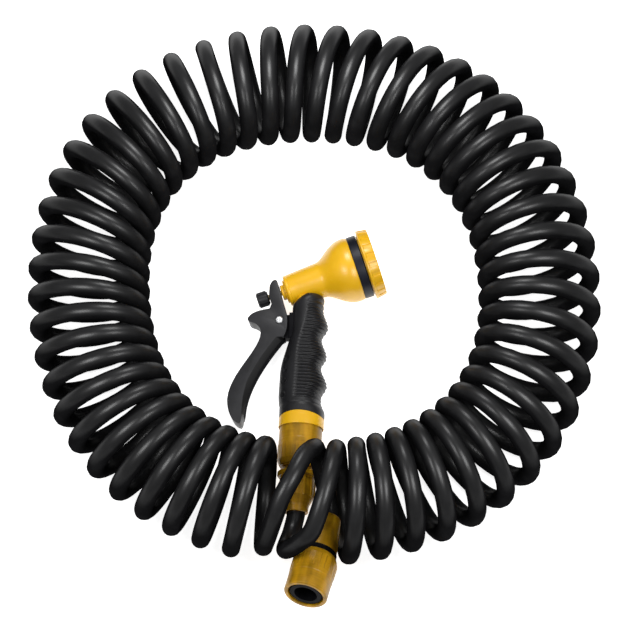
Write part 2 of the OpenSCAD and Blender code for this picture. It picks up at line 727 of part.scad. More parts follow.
module conn_core() {
    difference() {
        turned([[0, 1], [cage_r - 0.6, 1], [cage_r, 1.6], [cage_r, cage_end], [waist_r, waist_at],
            [waist_r, shoulder_at], [mouth_r + 0.9, shoulder_at], [mouth_r + 0.9, shoulder_end],
            [neck_turn_r, shoulder_end], [neck_turn_r, nut_at], [thread_r, nut_at],
            [thread_r, thread_end], [0, thread_end]]);
        cylinder(r = socket_r, h = socket_l);
        cylinder(r = socket_r + 0.4, h = 12);
        translate([0, 0, seal_z]) cylinder(r = socket_r + 0.6, h = socket_l - seal_z);
        around(claws) rotate([0, 0, -claw_arc / 2 - 0.4]) translate([0, 0, claw_z])
            rotate_extrude(angle = claw_arc + 0.8) translate([6, 0]) square([8, claw_l]);
        // waterway, and the cup round the barb
        cylinder(r = waterway_r, h = collet_end);
        ring(hose_bore / 2, hose_r + 0.6, nut_end - hose_grip - hose_end_l, collet_step);
    }
}

// Three locking claws, engaged at radius r_in
module conn_claws(r_in) {
    around(claws) rotate([0, 0, -claw_arc / 2]) translate([0, 0, claw_z])
        rotate_extrude(angle = claw_arc) translate([r_in, 0]) square([cage_r - 0.1 - r_in, claw_l]);
}

// Release sleeve; the inner ring at its front holds the claws in
module conn_sleeve() {
    bore_at = cage_end + 0.2;
    difference() {
        turned([[mouth_r + 0.4, 0], [sleeve_r - 1, 0], [sleeve_r - 0.2, 0.8], [sleeve_r - 0.2, bore_at],
            [sleeve_r, bore_at + 0.8], [sleeve_r, sleeve_l - 4], [sleeve_r - 1.6, sleeve_l],
            [mouth_r + 1, sleeve_l], [mouth_r + 1, bore_at], [cage_r + 0.35, bore_at],
            [cage_r + 0.35, 4.4], [mouth_r, 3.6], [mouth_r, 0.5]]);
        // shallow finger flats on the wide part
        around(24) translate([sleeve_r + 0.6, 0, 17.5]) cylinder(r = 1.2, h = sleeve_l - 23);
    }
}

module conn_spring() {
    coil_spring(cage_r + 0.3, sleeve_wire, cage_end + 0.4, shoulder_at - 0.2, 4, 12);
}

module conn_seal() {
    ring(3, socket_r + 0.5, seal_z + 0.2, socket_l);
}

module conn_collet() {
    difference() {
        turned([[hose_r, thread_end], [thread_r - 0.1, thread_end], [thread_r - 0.1, collet_step],
            [cone_r, collet_end], [hose_r, collet_end]]);
        around(8) translate([hose_r + 2, 0, collet_end - 2.5]) cube([6, 1, 8], center = true);
    }
}

// What every nut is hollowed by: thread, collet cone and hose hole
module nut_inside() {
    turned([[0, nut_at - 1], [thread_r, nut_at - 1], [thread_r, collet_step], [cone_r, collet_end + 0.2],
        [hose_r + 0.3, collet_end + 0.2], [hose_r + 0.3, nut_end - 3], [hose_r + 0.9, nut_end + 1],
        [0, nut_end + 1]]);
}

module flanged_nut() {
    flange_r = 15.5;
    body_r = 13;
    tail_r = 9;
    difference() {
        turned([[0, nut_at], [flange_r - 0.7, nut_at], [flange_r, nut_at + 0.7], [flange_r, nut_at + 3.3],
            [flange_r - 0.7, nut_at + 4], [body_r, nut_at + 4], [body_r, nut_end - 12],
            [tail_r + 0.2, nut_end - 4.5], [tail_r, nut_end], [0, nut_end]]);
        nut_inside();
        around(12) translate([body_r + 0.9, 0, nut_at + 5.5]) cylinder(r = 1.6, h = 12.5);
    }
}

module cone_nut() {
    head_r = 13.2;
    tail_r = 9.2;
    difference() {
        turned([[0, nut_at], [head_r, nut_at], [head_r - 0.4, nut_at + 6], [tail_r, nut_end - 1],
            [tail_r - 0.6, nut_end], [0, nut_end]]);
        nut_inside();
    }
}

module gun_conn_core() { color(amber) on_gun_connector() conn_core(); }
module gun_conn_claws() { color(amber) on_gun_connector() conn_claws(claw_groove_r + 0.35); }
module gun_conn_sleeve() { color(amber) on_gun_connector() conn_sleeve(); }
module gun_conn_spring() { color(steel) on_gun_connector() conn_spring(); }
module gun_conn_seal() { color(black) on_gun_connector() conn_seal(); }
module gun_conn_collet() { color(amber) on_gun_connector() conn_collet(); }
module gun_conn_nut() { color(amber) on_gun_connector() flanged_nut(); }

module tap_conn_core() { color(black) on_tap_connector() conn_core(); }
module tap_conn_claws() { color(black) on_tap_connector() conn_claws(socket_r + 0.5); }
module tap_conn_sleeve() { color(amber) on_tap_connector() conn_sleeve(); }
module tap_conn_spring() { color(steel) on_tap_connector() conn_spring(); }
module tap_conn_seal() { color(black) on_tap_connector() conn_seal(); }
module tap_conn_collet() { color(amber) on_tap_connector() conn_collet(); }
module tap_conn_nut() { color(amber) on_tap_connector() cone_nut(); }

module tap_conn_band() {
    color(black) on_tap_connector() ring(neck_turn_r, mouth_r + 0.6, shoulder_end, nut_at);
}

hose_coil();
hose_end_gun();
hose_end_tap();
gun_body();
grip_cover();
pivot_bracket();
pivot_pin();
trigger_lever();
rear_gland();
gland_seal();
valve_stem();
valve_washer();
closing_spring();
flow_knob();
turret_base();
outlet_seal();
detent_ball();
detent_spring();
spray_dial();
face_plate();
dial_screw();
hose_adaptor();
adaptor_o_ring();
gun_conn_core();
gun_conn_claws();
gun_conn_sleeve();
gun_conn_spring();
gun_conn_seal();
gun_conn_collet();
gun_conn_nut();
tap_conn_core();
tap_conn_claws();
tap_conn_sleeve();
tap_conn_spring();
tap_conn_seal();
tap_conn_collet();
tap_conn_nut();
tap_conn_band();
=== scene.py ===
import json
from math import atan2, cos, floor, pi, radians, sin, sqrt, tau

import bmesh
import bpy
from bpy.props import FloatProperty, FloatVectorProperty, IntProperty, PointerProperty
from mathutils import Matrix, Vector


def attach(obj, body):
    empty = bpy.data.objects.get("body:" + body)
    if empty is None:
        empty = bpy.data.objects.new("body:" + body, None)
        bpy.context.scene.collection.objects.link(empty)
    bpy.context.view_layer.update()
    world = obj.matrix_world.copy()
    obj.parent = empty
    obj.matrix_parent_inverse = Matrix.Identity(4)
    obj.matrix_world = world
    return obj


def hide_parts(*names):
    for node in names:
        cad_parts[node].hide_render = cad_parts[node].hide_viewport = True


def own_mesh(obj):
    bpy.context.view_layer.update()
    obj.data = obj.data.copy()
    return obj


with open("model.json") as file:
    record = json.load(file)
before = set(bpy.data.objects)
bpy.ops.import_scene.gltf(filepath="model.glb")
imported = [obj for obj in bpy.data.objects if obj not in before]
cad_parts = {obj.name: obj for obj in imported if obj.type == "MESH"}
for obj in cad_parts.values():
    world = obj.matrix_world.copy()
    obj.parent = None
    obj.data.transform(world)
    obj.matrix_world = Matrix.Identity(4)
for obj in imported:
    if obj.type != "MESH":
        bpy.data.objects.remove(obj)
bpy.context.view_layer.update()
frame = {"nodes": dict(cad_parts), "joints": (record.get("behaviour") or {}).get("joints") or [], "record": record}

bl_info = {
    "name": "Coiled hose with spray gun",
    "version": (1, 0, 0),
    "blender": (4, 5, 0),
    "location": "View3D > Sidebar > Hose",
    "description": "Dresses a coiled hose, its spray gun and its snap connectors",
    "category": "Object",
}

NODES = frame["nodes"]
JOINTS = {joint["name"]: joint for joint in frame["joints"]}
MOUNTS = {mount["name"]: mount for mount in frame["record"]["mounts"]}
MM = 0.001

# ---------------------------------------------------------------- places


def place(origin, along, across):
    """Matrix whose Z runs along and whose Y is across."""
    z = Vector(along).normalized()
    y = Vector(across).normalized()
    turned = Matrix((y.cross(z), y, z)).transposed().to_4x4()
    return Matrix.Translation(origin) @ turned


BARREL_DIR = Vector(JOINTS["dial_turn"]["axis"])
HANDLE_DIR = Vector(JOINTS["hose_swivel"]["axis"])
PIN_DIR = Vector(JOINTS["trigger_pivot"]["axis"])
TAP_DIR = -Vector(MOUNTS["tap_inlet"]["axis"])

# Along the barrel from the handle's axis, in millimetres
BARREL_BACK = -18.5
BELL_END = 32
BARREL_FRONT = 36.7
BASE_FRONT = 43.6
RIM_AT = 44.8
FACE_AT = 48.8
RIM_FRONT = 53.4
RIM_DEPTH = RIM_FRONT - RIM_AT
GLAND_END = -12
PLUNGER_AT = 3
KNOB_BACK = -42.0
KNOB_FRONT = -33.0

# Radii on the barrel, and how much the rim's falls towards its front
BELL_R = 24.9
STEM_R = 2.06
RIM_TAPER = 1.4

# Along the handle from the barrel's axis
GRIP_TOP = 11.8
ARCH_END = 17.9
WAIST_FROM = 14
WAIST_TO = 40
PALM_FROM = 36
PALM_TO = 74
SWELL_FROM = 50
WIDENS_FROM = 60
BUMPS_FROM = 22
BUMP_PITCH = 23
BUMPS = 3
RIBS_FROM = 20.5
RIBS_TO = 94
DIMPLES_AT = (63.4, 73, 81.5, 92.5)
CREASE_FROM = 98.6
CREASE_TO = 99.6
FLARE_AT = 95
FLARE_END = 104.5
GRIP_FOOT = 108.5
COLLAR = 7.5
SKIRT = 4
CONN_AT = GRIP_FOOT + COLLAR + 0.4 - SKIRT

# Across the grip; the foot's end keeps a share of its width, and the dimples sit at a turn from the front
TUBE_R = 10
GRIP_SLIM = 11.8
GRIP_SIDE = 14.8
SIDE_WAIST = 1.2
GRIP_PALM = 18.4
GRIP_FLARE = 17.0
FRONT_SWELL = 2
BUMP_HEIGHT = 4.2
BUMP_RISE = 0.62
CREASE_DEPTH = 0.35
FOOT_SCALLOP = 2.4
FOOT_SHARE = 0.965
DIMPLE_DEPTH = 1.2
DIMPLE_HALF_WIDTH = 3.2
DIMPLE_HALF_HEIGHT = 2.3
DIMPLE_TURN = radians(140)

# The lever from its pivot: its inner edge in two curves, its turn from the barrel, where its outer faces
# start, how near the edge a point belongs to it, how far the bevel goes back and the edge's points
# over which it grows
EDGE_LOW = ((-30.2, -80.4), (-27.6, -79), (-27, -75), (-26, -66))
EDGE_HIGH = ((-26, -66), (-22, -44), (-4, -22), (3, -13.5))
LEVER_TURN = radians(17)
LEVER_FACE = 7.3
EDGE_REACH = 0.4
BEVEL_BACK = 4.2
BEVEL_GROWS = 40
PIN_HALF = 7.7

# Along the connectors from their mouths
SOCKET_MIDDLE = 17
SLEEVE_SPRING = (13.6, 29.8)
NUT_AT = 37.5
NUT_END = 68.5
NUT_BORE = 6.9

GUN_CENTRE = Vector(JOINTS["dial_turn"]["pos_m"]) - BARREL_DIR * RIM_AT * MM
GUN_MOUTH = Vector(JOINTS["hose_swivel"]["pos_m"]) - HANDLE_DIR * SOCKET_MIDDLE * MM
TAP_MOUTH = Vector(MOUNTS["tap_inlet"]["pos_m"]) - TAP_DIR * SOCKET_MIDDLE * MM
ON_BARREL = place(GUN_CENTRE, BARREL_DIR, BARREL_DIR.cross(-PIN_DIR))
ON_HANDLE = place(GUN_CENTRE, HANDLE_DIR, PIN_DIR)
ON_GUN_CONNECTOR = place(GUN_MOUTH, HANDLE_DIR, PIN_DIR)
ON_TAP_CONNECTOR = place(TAP_MOUTH, TAP_DIR, Vector((0, 0, 1)).cross(TAP_DIR))
AT_PIVOT = place(JOINTS["trigger_pivot"]["pos_m"], PIN_DIR, HANDLE_DIR)
GUN_IN_RING = Vector((-2.4, 12.1, 0))
RING_CENTRE = Vector((GUN_CENTRE.x, GUN_CENTRE.y, 0)) - GUN_IN_RING * MM


# ---------------------------------------------------------------- settings


class HoseSettings(bpy.types.PropertyGroup):
    diameter: FloatProperty(name="Diameter", description="Outside diameter of the hose",
                            default=0.0135, min=0.012, max=0.0136, unit="LENGTH")
    sides: IntProperty(name="Sides", description="Faces round the hose", default=18, min=8, max=24)
    steps: IntProperty(name="Steps", description="Rings in each turn of the coil",
                       default=32, min=16, max=48)
    colour: FloatVectorProperty(name="Colour", description="Colour of the hose skin", subtype="COLOR",
                                size=4, default=(0.007, 0.007, 0.0075, 1), min=0, max=1)


class GunSettings(bpy.types.PropertyGroup):
    ribs: FloatProperty(name="Rib pitch", description="Distance between the ribs of the grip",
                        default=0.0027, min=0.002, max=0.005, unit="LENGTH")
    rib_depth: FloatProperty(name="Rib depth", description="Depth of the grooves between the ribs",
                             default=0.0012, min=0, max=0.0014, unit="LENGTH")
    lugs: IntProperty(name="Dial lugs", description="Raised lugs round the spray dial",
                      default=22, min=8, max=30)
    knurls: IntProperty(name="Knob ridges", description="Ridges round the flow knob",
                        default=14, min=6, max=24)
    yellow: FloatVectorProperty(name="Yellow", description="Colour of the gun's shell and dial",
                                subtype="COLOR", size=4, default=(0.81, 0.445, 0.004, 1), min=0, max=1)
    lever: FloatVectorProperty(name="Lever", description="Colour of the trigger lever", subtype="COLOR",
                               size=4, default=(0.015, 0.015, 0.017, 1), min=0, max=1)
    grip: FloatVectorProperty(name="Grip", description="Colour of the soft grip", subtype="COLOR",
                              size=4, default=(0.006, 0.006, 0.007, 1), min=0, max=1)
    band: FloatVectorProperty(name="Turret band", description="Colour of the black band behind the dial",
                              subtype="COLOR", size=4, default=(0.006, 0.007, 0.013, 1), min=0, max=1)


class ConnectorSettings(bpy.types.PropertyGroup):
    nut_ribs: IntProperty(name="Nut ribs", description="Ribs round the flanged nut",
                          default=12, min=6, max=24)
    flutes: IntProperty(name="Sleeve flutes", description="Flutes round the release sleeves",
                        default=24, min=12, max=36)
    amber: FloatVectorProperty(name="Amber", description="Colour of the connectors' clear plastic",
                               subtype="COLOR", size=4, default=(0.40, 0.208, 0.005, 1), min=0, max=1)


class StageSettings(bpy.types.PropertyGroup):
    elevation: FloatProperty(name="Elevation", description="Height angle of the camera",
                             default=radians(67.5), subtype="ANGLE")
    distance: FloatProperty(name="Distance", description="Distance of the camera from the coil",
                            default=2.0, min=0.5, unit="LENGTH")
    lens: FloatProperty(name="Lens", description="Focal length of the camera in millimetres",
                        default=152.38, min=20)
    floor: FloatVectorProperty(name="Floor", description="Colour of the floor", subtype="COLOR",
                               size=4, default=(0.95, 0.95, 0.95, 1), min=0, max=1)


class HoseKitSettings(bpy.types.PropertyGroup):
    hose: PointerProperty(type=HoseSettings)
    gun: PointerProperty(type=GunSettings)
    connector: PointerProperty(type=ConnectorSettings)
    stage: PointerProperty(type=StageSettings)


# ---------------------------------------------------------------- nodes


class Value:
    """A number from a socket; arithmetic on it adds Math nodes."""

    def __init__(self, owner, socket):
        self.owner = owner
        self.socket = socket

    def math(self, operation, *values):
        made = self.owner.node("ShaderNodeMath", {"operation": operation}, dict(enumerate(values)))
        return Value(self.owner, made.outputs[0])

    def __add__(self, other):
        return self.math("ADD", self, other)

    def __radd__(self, other):
        return self.math("ADD", other, self)

    def __sub__(self, other):
        return self.math("SUBTRACT", self, other)

    def __rsub__(self, other):
        return self.math("SUBTRACT", other, self)

    def __mul__(self, other):
        return self.math("MULTIPLY", self, other)

    def __rmul__(self, other):
        return self.math("MULTIPLY", other, self)

    def __truediv__(self, other):
        return self.math("DIVIDE", self, other)

    def __rtruediv__(self, other):
        return self.math("DIVIDE", other, self)

    def step(self, low, high):
        """Smooth rise from 0 at low to 1 at high."""
        made = self.owner.node("ShaderNodeMapRange", {"interpolation_type": "SMOOTHSTEP"},
                               {"Value": self, "From Min": low, "From Max": high})
        return Value(self.owner, made.outputs[0])


class Tree:
    """A node tree whose nodes are all made by one method."""

    def __init__(self, tree):
        self.tree = tree

    def node(self, kind, settings=None, inputs=None):
        made = self.tree.nodes.new(kind)
        for name, value in (settings or {}).items():
            setattr(made, name, value)
        for key, value in (inputs or {}).items():
            self.feed(made.inputs[key], value)
        return made

    def feed(self, socket, value):
        if isinstance(value, Value):
            self.tree.links.new(value.socket, socket)
        elif isinstance(value, bpy.types.NodeSocket):
            self.tree.links.new(value, socket)
        else:
            socket.default_value = value


class Finish(Tree):
    """A procedural material built on one Principled shader."""

    def __init__(self, name):
        self.material = bpy.data.materials.new(name)
        self.material.use_nodes = True
        super().__init__(self.material.node_tree)
        self.shader = self.tree.nodes["Principled BSDF"]

    def surface(self, **sockets):
        for name, value in sockets.items():
            self.feed(self.shader.inputs[name.replace("_", " ")], value)
        return self.material

    def where(self, kind="Object"):
        return self.node("ShaderNodeTexCoord").outputs[kind]

    def attribute(self, name):
        return Value(self, self.node("ShaderNodeAttribute", {"attribute_name": name}).outputs["Fac"])

    def stretched(self, vector, scale):
        made = self.node("ShaderNodeVectorMath", {"operation": "MULTIPLY"}, {0: vector, 1: scale})
        return made.outputs[0]

    def joined(self, x, y, z=0.0):
        return self.node("ShaderNodeCombineXYZ", None, {0: x, 1: y, 2: z}).outputs[0]

    def axis(self, vector, index):
        return Value(self, self.node("ShaderNodeSeparateXYZ", None, {0: vector}).outputs[index])

    def noise(self, vector, scale, detail):
        made = self.node("ShaderNodeTexNoise", None,
                         {"Vector": vector, "Scale": scale, "Detail": detail, "Roughness": 0.55})
        return Value(self, made.outputs["Fac"])

    def cells(self, vector, scale):
        made = self.node("ShaderNodeTexVoronoi", {"feature": "F1"}, {"Vector": vector, "Scale": scale})
        return Value(self, made.outputs["Distance"])

    def blend(self, factor, first, second):
        made = self.node("ShaderNodeMix", {"data_type": "RGBA"}, {0: factor, 6: first, 7: second})
        return made.outputs[2]

    def bump(self, height, distance, strength=1.0):
        made = self.node("ShaderNodeBump", None,
                         {"Height": height, "Distance": distance, "Strength": strength})
        return made.outputs[0]


def shade(colour, factor):
    """The same colour, lighter or darker."""
    return tuple(min(1.0, part * factor) for part in colour[:3]) + (1.0,)


# ---------------------------------------------------------------- finishes


def moulded_yellow(colour):
    """Glossy yellow plastic with faint scuffs."""
    made = Finish("moulded_yellow")
    at = made.where()
    cloud = made.noise(at, 30, 2)
    grain = made.noise(at, 900, 4)
    scuffs = made.noise(made.stretched(at, (300, 300, 1400)), 1.0, 2)
    tint = made.blend(cloud.step(0.35, 0.7), shade(colour, 0.93), shade(colour, 1.05))
    return made.surface(Base_Color=tint, Roughness=0.30 + 0.08 * cloud + 0.08 * scuffs.step(0.6, 0.75),
                        Coat_Weight=0.25, Coat_Roughness=0.25, Subsurface_Weight=0.06,
                        Subsurface_Radius=(0.004, 0.002, 0.0005),
                        Normal=made.bump(grain + 0.5 * scuffs, 0.00003))


def clear_amber(colour):
    """Cloudy amber plastic, with painted streaks of light and shade along it that stand for what lies behind it.
    """
    made = Finish("clear_amber")
    uv = made.where("UV")
    around, height = made.axis(uv, 0), made.axis(uv, 1)
    lines = made.noise(made.joined(around * 2, height * 700), 1.0, 2)
    painted_light_bands = made.noise(made.joined(around * 9, height * 22), 1.0, 2)
    haze = made.noise(made.where(), 120, 2)
    moulding = made.noise(made.where(), 900, 3)
    # Painted light and shade: the streaks run from a darker, shaded amber up to a lighter, lit one
    painted_shade_amber = made.blend(haze.step(0.35, 0.7), shade(colour, 0.5), shade(colour, 0.8))
    tint = made.blend((lines * 0.15 + painted_light_bands * 0.85).step(0.36, 0.66), painted_shade_amber, shade(colour, 1.3))
    return made.surface(Base_Color=tint, Roughness=0.30 + 0.10 * haze, Specular_IOR_Level=0.3,
                        Subsurface_Weight=0.2, Subsurface_Radius=(0.006, 0.003, 0.0006),
                        Normal=made.bump(0.3 * moulding + lines, 0.00006))


def drawn_hose(colour):
    """Dull black skin with drawing lines; its coat is painted on only where it faces up, which keeps its sides
    dark as painted shade.
    """
    made = Finish("drawn_hose")
    along, around = made.attribute("along"), made.attribute("around")
    at = made.where()
    blotch = made.noise(at, 70, 3)
    drawn = made.noise(made.joined(around.math("SINE", around * tau) * 2.2, along * 26), 1.0, 3)
    pores = made.noise(at, 1500, 3)
    tint = made.blend(blotch.step(0.4, 0.75), colour, shade(colour, 1.5))
    # Painted shade by facing: the coat, and with it the skin's reflections, fades out where the skin turns away
    # from up
    upward_sheen_mask = made.attribute("upward").step(0.3, 0.95)
    return made.surface(Base_Color=tint, Roughness=0.5 + 0.1 * blotch, Specular_IOR_Level=0.0,
                        Coat_Weight=upward_sheen_mask * (1.05 - 0.3 * drawn), Coat_Roughness=0.36,
                        Normal=made.bump(drawn + 0.12 * pores, 0.0002, 0.4))


def grip_rubber(colour):
    """Soft black rubber with a fine skin."""
    made = Finish("grip_rubber")
    at = made.where()
    cloud = made.noise(at, 60, 2)
    skin = made.noise(at, 2200, 3)
    tint = made.blend(cloud.step(0.35, 0.7), colour, shade(colour, 1.6))
    return made.surface(Base_Color=tint, Roughness=0.40 + 0.10 * cloud, Specular_IOR_Level=0.42,
                        Normal=made.bump(skin, 0.00004))


def moulded_black(name, colour, rough, shine):
    """Black plastic or rubber with a sparked surface."""
    made = Finish(name)
    at = made.where()
    cloud = made.noise(at, 90, 3)
    spark = made.cells(at, 1700)
    tint = made.blend(cloud.step(0.35, 0.7), shade(colour, 0.85), shade(colour, 1.35))
    return made.surface(Base_Color=tint, Roughness=rough + 0.10 * cloud, Specular_IOR_Level=shine,
                        Normal=made.bump(spark, 0.00004, 0.6))


def satin_lever(colour):
    """Satin charcoal plastic, with painted shade on the slopes of the lever's bevel."""
    made = Finish("satin_lever")
    at = made.where()
    bevel = made.attribute("bevel")
    cloud = made.noise(at, 90, 3)
    grain = made.noise(at, 1500, 3)
    face = made.blend(cloud.step(0.35, 0.7), shade(colour, 0.85), shade(colour, 1.25))
    # Painted shade: the slopes that the bevel attribute marks turn nearly black
    tint = made.blend(bevel, face, shade(colour, 0.2))
    return made.surface(Base_Color=tint, Roughness=0.40 + 0.10 * cloud + 0.15 * bevel,
                        Specular_IOR_Level=0.35, Normal=made.bump(grain, 0.00004, 0.6))


def drawn_metal(name, colour, rough):
    """Metal with fine turning lines."""
    made = Finish(name)
    at = made.where()
    lines = made.noise(made.stretched(at, (4000, 4000, 500)), 1.0, 3)
    cloud = made.noise(at, 200, 2)
    tint = made.blend(cloud, shade(colour, 0.9), colour)
    return made.surface(Base_Color=tint, Metallic=1.0, Roughness=rough + 0.15 * lines,
                        Normal=made.bump(lines, 0.00002))


def finishes(settings):
    """Every finish by the name of its material slot, and the turret band's own."""
    if "moulded_yellow" not in bpy.data.materials:
        gun = settings.gun
        moulded_yellow(gun.yellow)
        clear_amber(settings.connector.amber)
        drawn_hose(settings.hose.colour)
        grip_rubber(gun.grip)
        satin_lever(gun.lever)
        moulded_black("turret_band", gun.band, 0.36, 0.25)
        moulded_black("plain_black", (0.004, 0.004, 0.005, 1), 0.46, 0.05)
        moulded_black("ring_rubber", (0.005, 0.005, 0.005, 1), 0.62, 0.05)
        drawn_metal("plain_steel", (0.78, 0.79, 0.80, 1), 0.36)
        drawn_metal("turned_brass", (0.66, 0.50, 0.22, 1), 0.28)
    named = {"yellow_plastic": "moulded_yellow", "amber_plastic": "clear_amber", "hose_skin": "drawn_hose",
             "soft_rubber": "grip_rubber", "seal_rubber": "ring_rubber", "black_plastic": "plain_black",
             "charcoal_plastic": "satin_lever", "steel": "plain_steel", "brass": "turned_brass",
             "band": "turret_band"}
    return {slot: bpy.data.materials[name] for slot, name in named.items()}


# ---------------------------------------------------------------- meshes


def linked(name, data):
    """A new object in the scene."""
    made = bpy.data.objects.new(name, data)
    bpy.context.scene.collection.objects.link(made)
    return made


def piece(name, mesh, slot, body, node, finish=None, smooth=35):
    """Makes a mesh one finished piece that rides on a body and stands for a CAD node."""
    made = linked(name, mesh)
    mesh.materials.clear()
    mesh.materials.append(finishes(bpy.context.scene.hose_kit)[finish or slot])
    mesh.polygons.foreach_set("use_smooth", [True] * len(mesh.polygons))
    mesh.set_sharp_from_angle(angle=radians(smooth))
    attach(made, body)
    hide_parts(node)
    return made


def rounded(points, radius):
    """Rounds the corners of an open outline of [radius, height]."""
    steps = 4
    made = [Vector(points[0])]
    for before, corner, after in zip(points, points[1:], points[2:]):
        corner = Vector(corner)
        back, ahead = Vector(before) - corner, Vector(after) - corner
        turn = back.angle(ahead) if back.length and ahead.length else pi
        reach = min(radius / max(0.2, sin(turn / 2)) * cos(turn / 2) if turn < pi - 0.2 else 0,
                    back.length * 0.45, ahead.length * 0.45)
        if reach < 0.02:
            made.append(corner)
            continue
        start, end = corner + back.normalized() * reach, corner + ahead.normalized() * reach
        for i in range(steps + 1):
            t = i / steps
            made.append((1 - t) ** 2 * start + 2 * t * (1 - t) * corner + t ** 2 * end)
    made.append(Vector(points[-1]))
    return made


def bezier(a, b, c, d, count):
    """Points of a Bezier curve, without its last."""
    a, b, c, d = (Vector(p) for p in (a, b, c, d))
    return [(1 - t) ** 3 * a + 3 * t * (1 - t) ** 2 * b + 3 * t * t * (1 - t) * c + t ** 3 * d
            for t in (i / count for i in range(count))]


def loft(rings, closed=True):
    """Joins rings of points, in millimetres, with a UV map of turn and height."""
    work = bmesh.new()
    uv = work.loops.layers.uv.new("UVMap")
    count = len(rings[0])
    rows = [[work.verts.new(Vector(point) * MM) for point in ring] for ring in rings]
    for i, (low, high) in enumerate(zip(rows, rows[1:])):
        for k in range(count):
            m = (k + 1) % count
            face = work.faces.new((low[k], low[m], high[m], high[k]))
            for loop, (turn, row) in zip(face.loops, ((k, i), (k + 1, i), (k + 1, i + 1), (k, i + 1))):
                loop[uv].uv = (turn / count, rings[row][0][2] * MM)
    if closed:
        work.faces.new(list(reversed(rows[0])))
        work.faces.new(rows[-1])
    bmesh.ops.remove_doubles(work, verts=work.verts, dist=1e-7)
    bmesh.ops.recalc_face_normals(work, faces=work.faces)
    return work


def lathe(outline, sides, closed=True):
    """Turns an outline of [radius, height] round Z, in millimetres; a ring has no end faces to close."""
    rings = [[(r * cos(tau * k / sides), r * sin(tau * k / sides), z) for k in range(sides)]
             for r, z in ((max(p[0], 0.001), p[1]) for p in outline)]
    return loft(rings, closed)


def settled(work, where=None):
    """Turns a bmesh into a mesh in its place on the object."""
    if where is not None:
        work.transform(where)
    mesh = bpy.data.meshes.new("piece")
    work.to_mesh(mesh)
    work.free()
    return mesh


def block(r_in, r_out, width, low, high, bevel):
    """A rounded lug that stands out from a cylinder round Z, in millimetres."""
    work = bmesh.new()
    made = bmesh.ops.create_cube(work, size=1)["verts"]
    bmesh.ops.scale(work, verts=made, vec=Vector((r_out - r_in, width, high - low)) * MM)
    bmesh.ops.translate(work, verts=made, vec=Vector(((r_in + r_out) / 2, 0, (low + high) / 2)) * MM)
    bmesh.ops.bevel(work, geom=list(work.edges), offset=bevel * MM, segments=2, profile=0.6, affect="EDGES")
    return work


# ---------------------------------------------------------------- repeats


def group(name, **kinds):
    """A Geometry Nodes tree with a geometry and named inputs."""
    made = bpy.data.node_groups.new(name, "GeometryNodeTree")
    made.interface.new_socket("Geometry", in_out="INPUT", socket_type="NodeSocketGeometry")
    made.interface.new_socket("Geometry", in_out="OUTPUT", socket_type="NodeSocketGeometry")
    for label, kind in kinds.items():
        made.interface.new_socket(label, in_out="INPUT", socket_type="NodeSocket" + kind)
    return Tree(made)


def closed_group(tree, geometry, start):
    """Ends a Geometry Nodes tree: instances made real, then the material."""
    real = tree.node("GeometryNodeRealizeInstances", None, {0: geometry})
    painted = tree.node("GeometryNodeSetMaterial", None,
                        {"Geometry": real.outputs[0], "Material": start["Material"]})
    tree.node("NodeGroupOutput", None, {0: painted.outputs[0]})


def around_tree():
    """Copies of the geometry round Z."""
    if "copies_around" in bpy.data.node_groups:
        return bpy.data.node_groups["copies_around"]
    tree = group("copies_around", Count="Int", Material="Material")
    start = tree.node("NodeGroupInput").outputs
    points = tree.node("GeometryNodePoints", None, {"Count": start["Count"]})
    index = Value(tree, tree.node("GeometryNodeInputIndex").outputs[0])
    turn = tree.node("ShaderNodeCombineXYZ", None, {2: index * tau / Value(tree, start["Count"])})
    copies = tree.node("GeometryNodeInstanceOnPoints", None,
                       {"Points": points.outputs[0], "Instance": start["Geometry"],
                        "Rotation": turn.outputs[0]})
    closed_group(tree, copies.outputs[0], start)
    return tree.tree


def tube_tree():
    """A tube along an open line; it keeps how far along, how far round and how upward each point is."""
    if "tube_along" in bpy.data.node_groups:
        return bpy.data.node_groups["tube_along"]
    tree = group("tube_along", Radius="Float", Sides="Int", Material="Material")
    start = tree.node("NodeGroupInput").outputs
    line = tree.node("GeometryNodeMeshToCurve", None, {0: start["Geometry"]})
    along = tree.node("GeometryNodeSplineParameter").outputs["Length"]
    run = captured(tree, line.outputs[0], along)
    ring = tree.node("GeometryNodeCurvePrimitiveCircle", None,
                     {"Resolution": start["Sides"], "Radius": start["Radius"]})
    factor = tree.node("GeometryNodeSplineParameter").outputs["Factor"]
    profile = captured(tree, ring.outputs[0], factor)
    tube = tree.node("GeometryNodeCurveToMesh", None,
                     {"Curve": run.outputs[0], "Profile Curve": profile.outputs[0], "Fill Caps": True})
    first = kept(tree, tube.outputs[0], "along", run.outputs[1])
    second = kept(tree, first, "around", profile.outputs[1])
    facing = tree.node("ShaderNodeSeparateXYZ", None, {0: tree.node("GeometryNodeInputNormal").outputs[0]})
    third = kept(tree, second, "upward", facing.outputs[2])
    closed_group(tree, third, start)
    return tree.tree


def captured(tree, geometry, value):
    """Catches a value on the geometry's points."""
    made = tree.node("GeometryNodeCaptureAttribute", {"domain": "POINT"})
    made.capture_items.new("FLOAT", "Value")
    tree.feed(made.inputs[0], geometry)
    tree.feed(made.inputs[1], value)
    return made


def kept(tree, geometry, name, value):
    """Stores a value on the geometry's points under a name."""
    made = tree.node("GeometryNodeStoreNamedAttribute", {"data_type": "FLOAT", "domain": "POINT"},
                     {"Geometry": geometry, "Name": name, "Value": value})
    return made.outputs[0]


def applied(host):
    """The mesh that a host object's modifiers make; the host goes."""
    graph = bpy.context.evaluated_depsgraph_get()
    made = bpy.data.meshes.new_from_object(host.evaluated_get(graph))
    host.modifiers.clear()
    bpy.data.objects.remove(host)
    return made


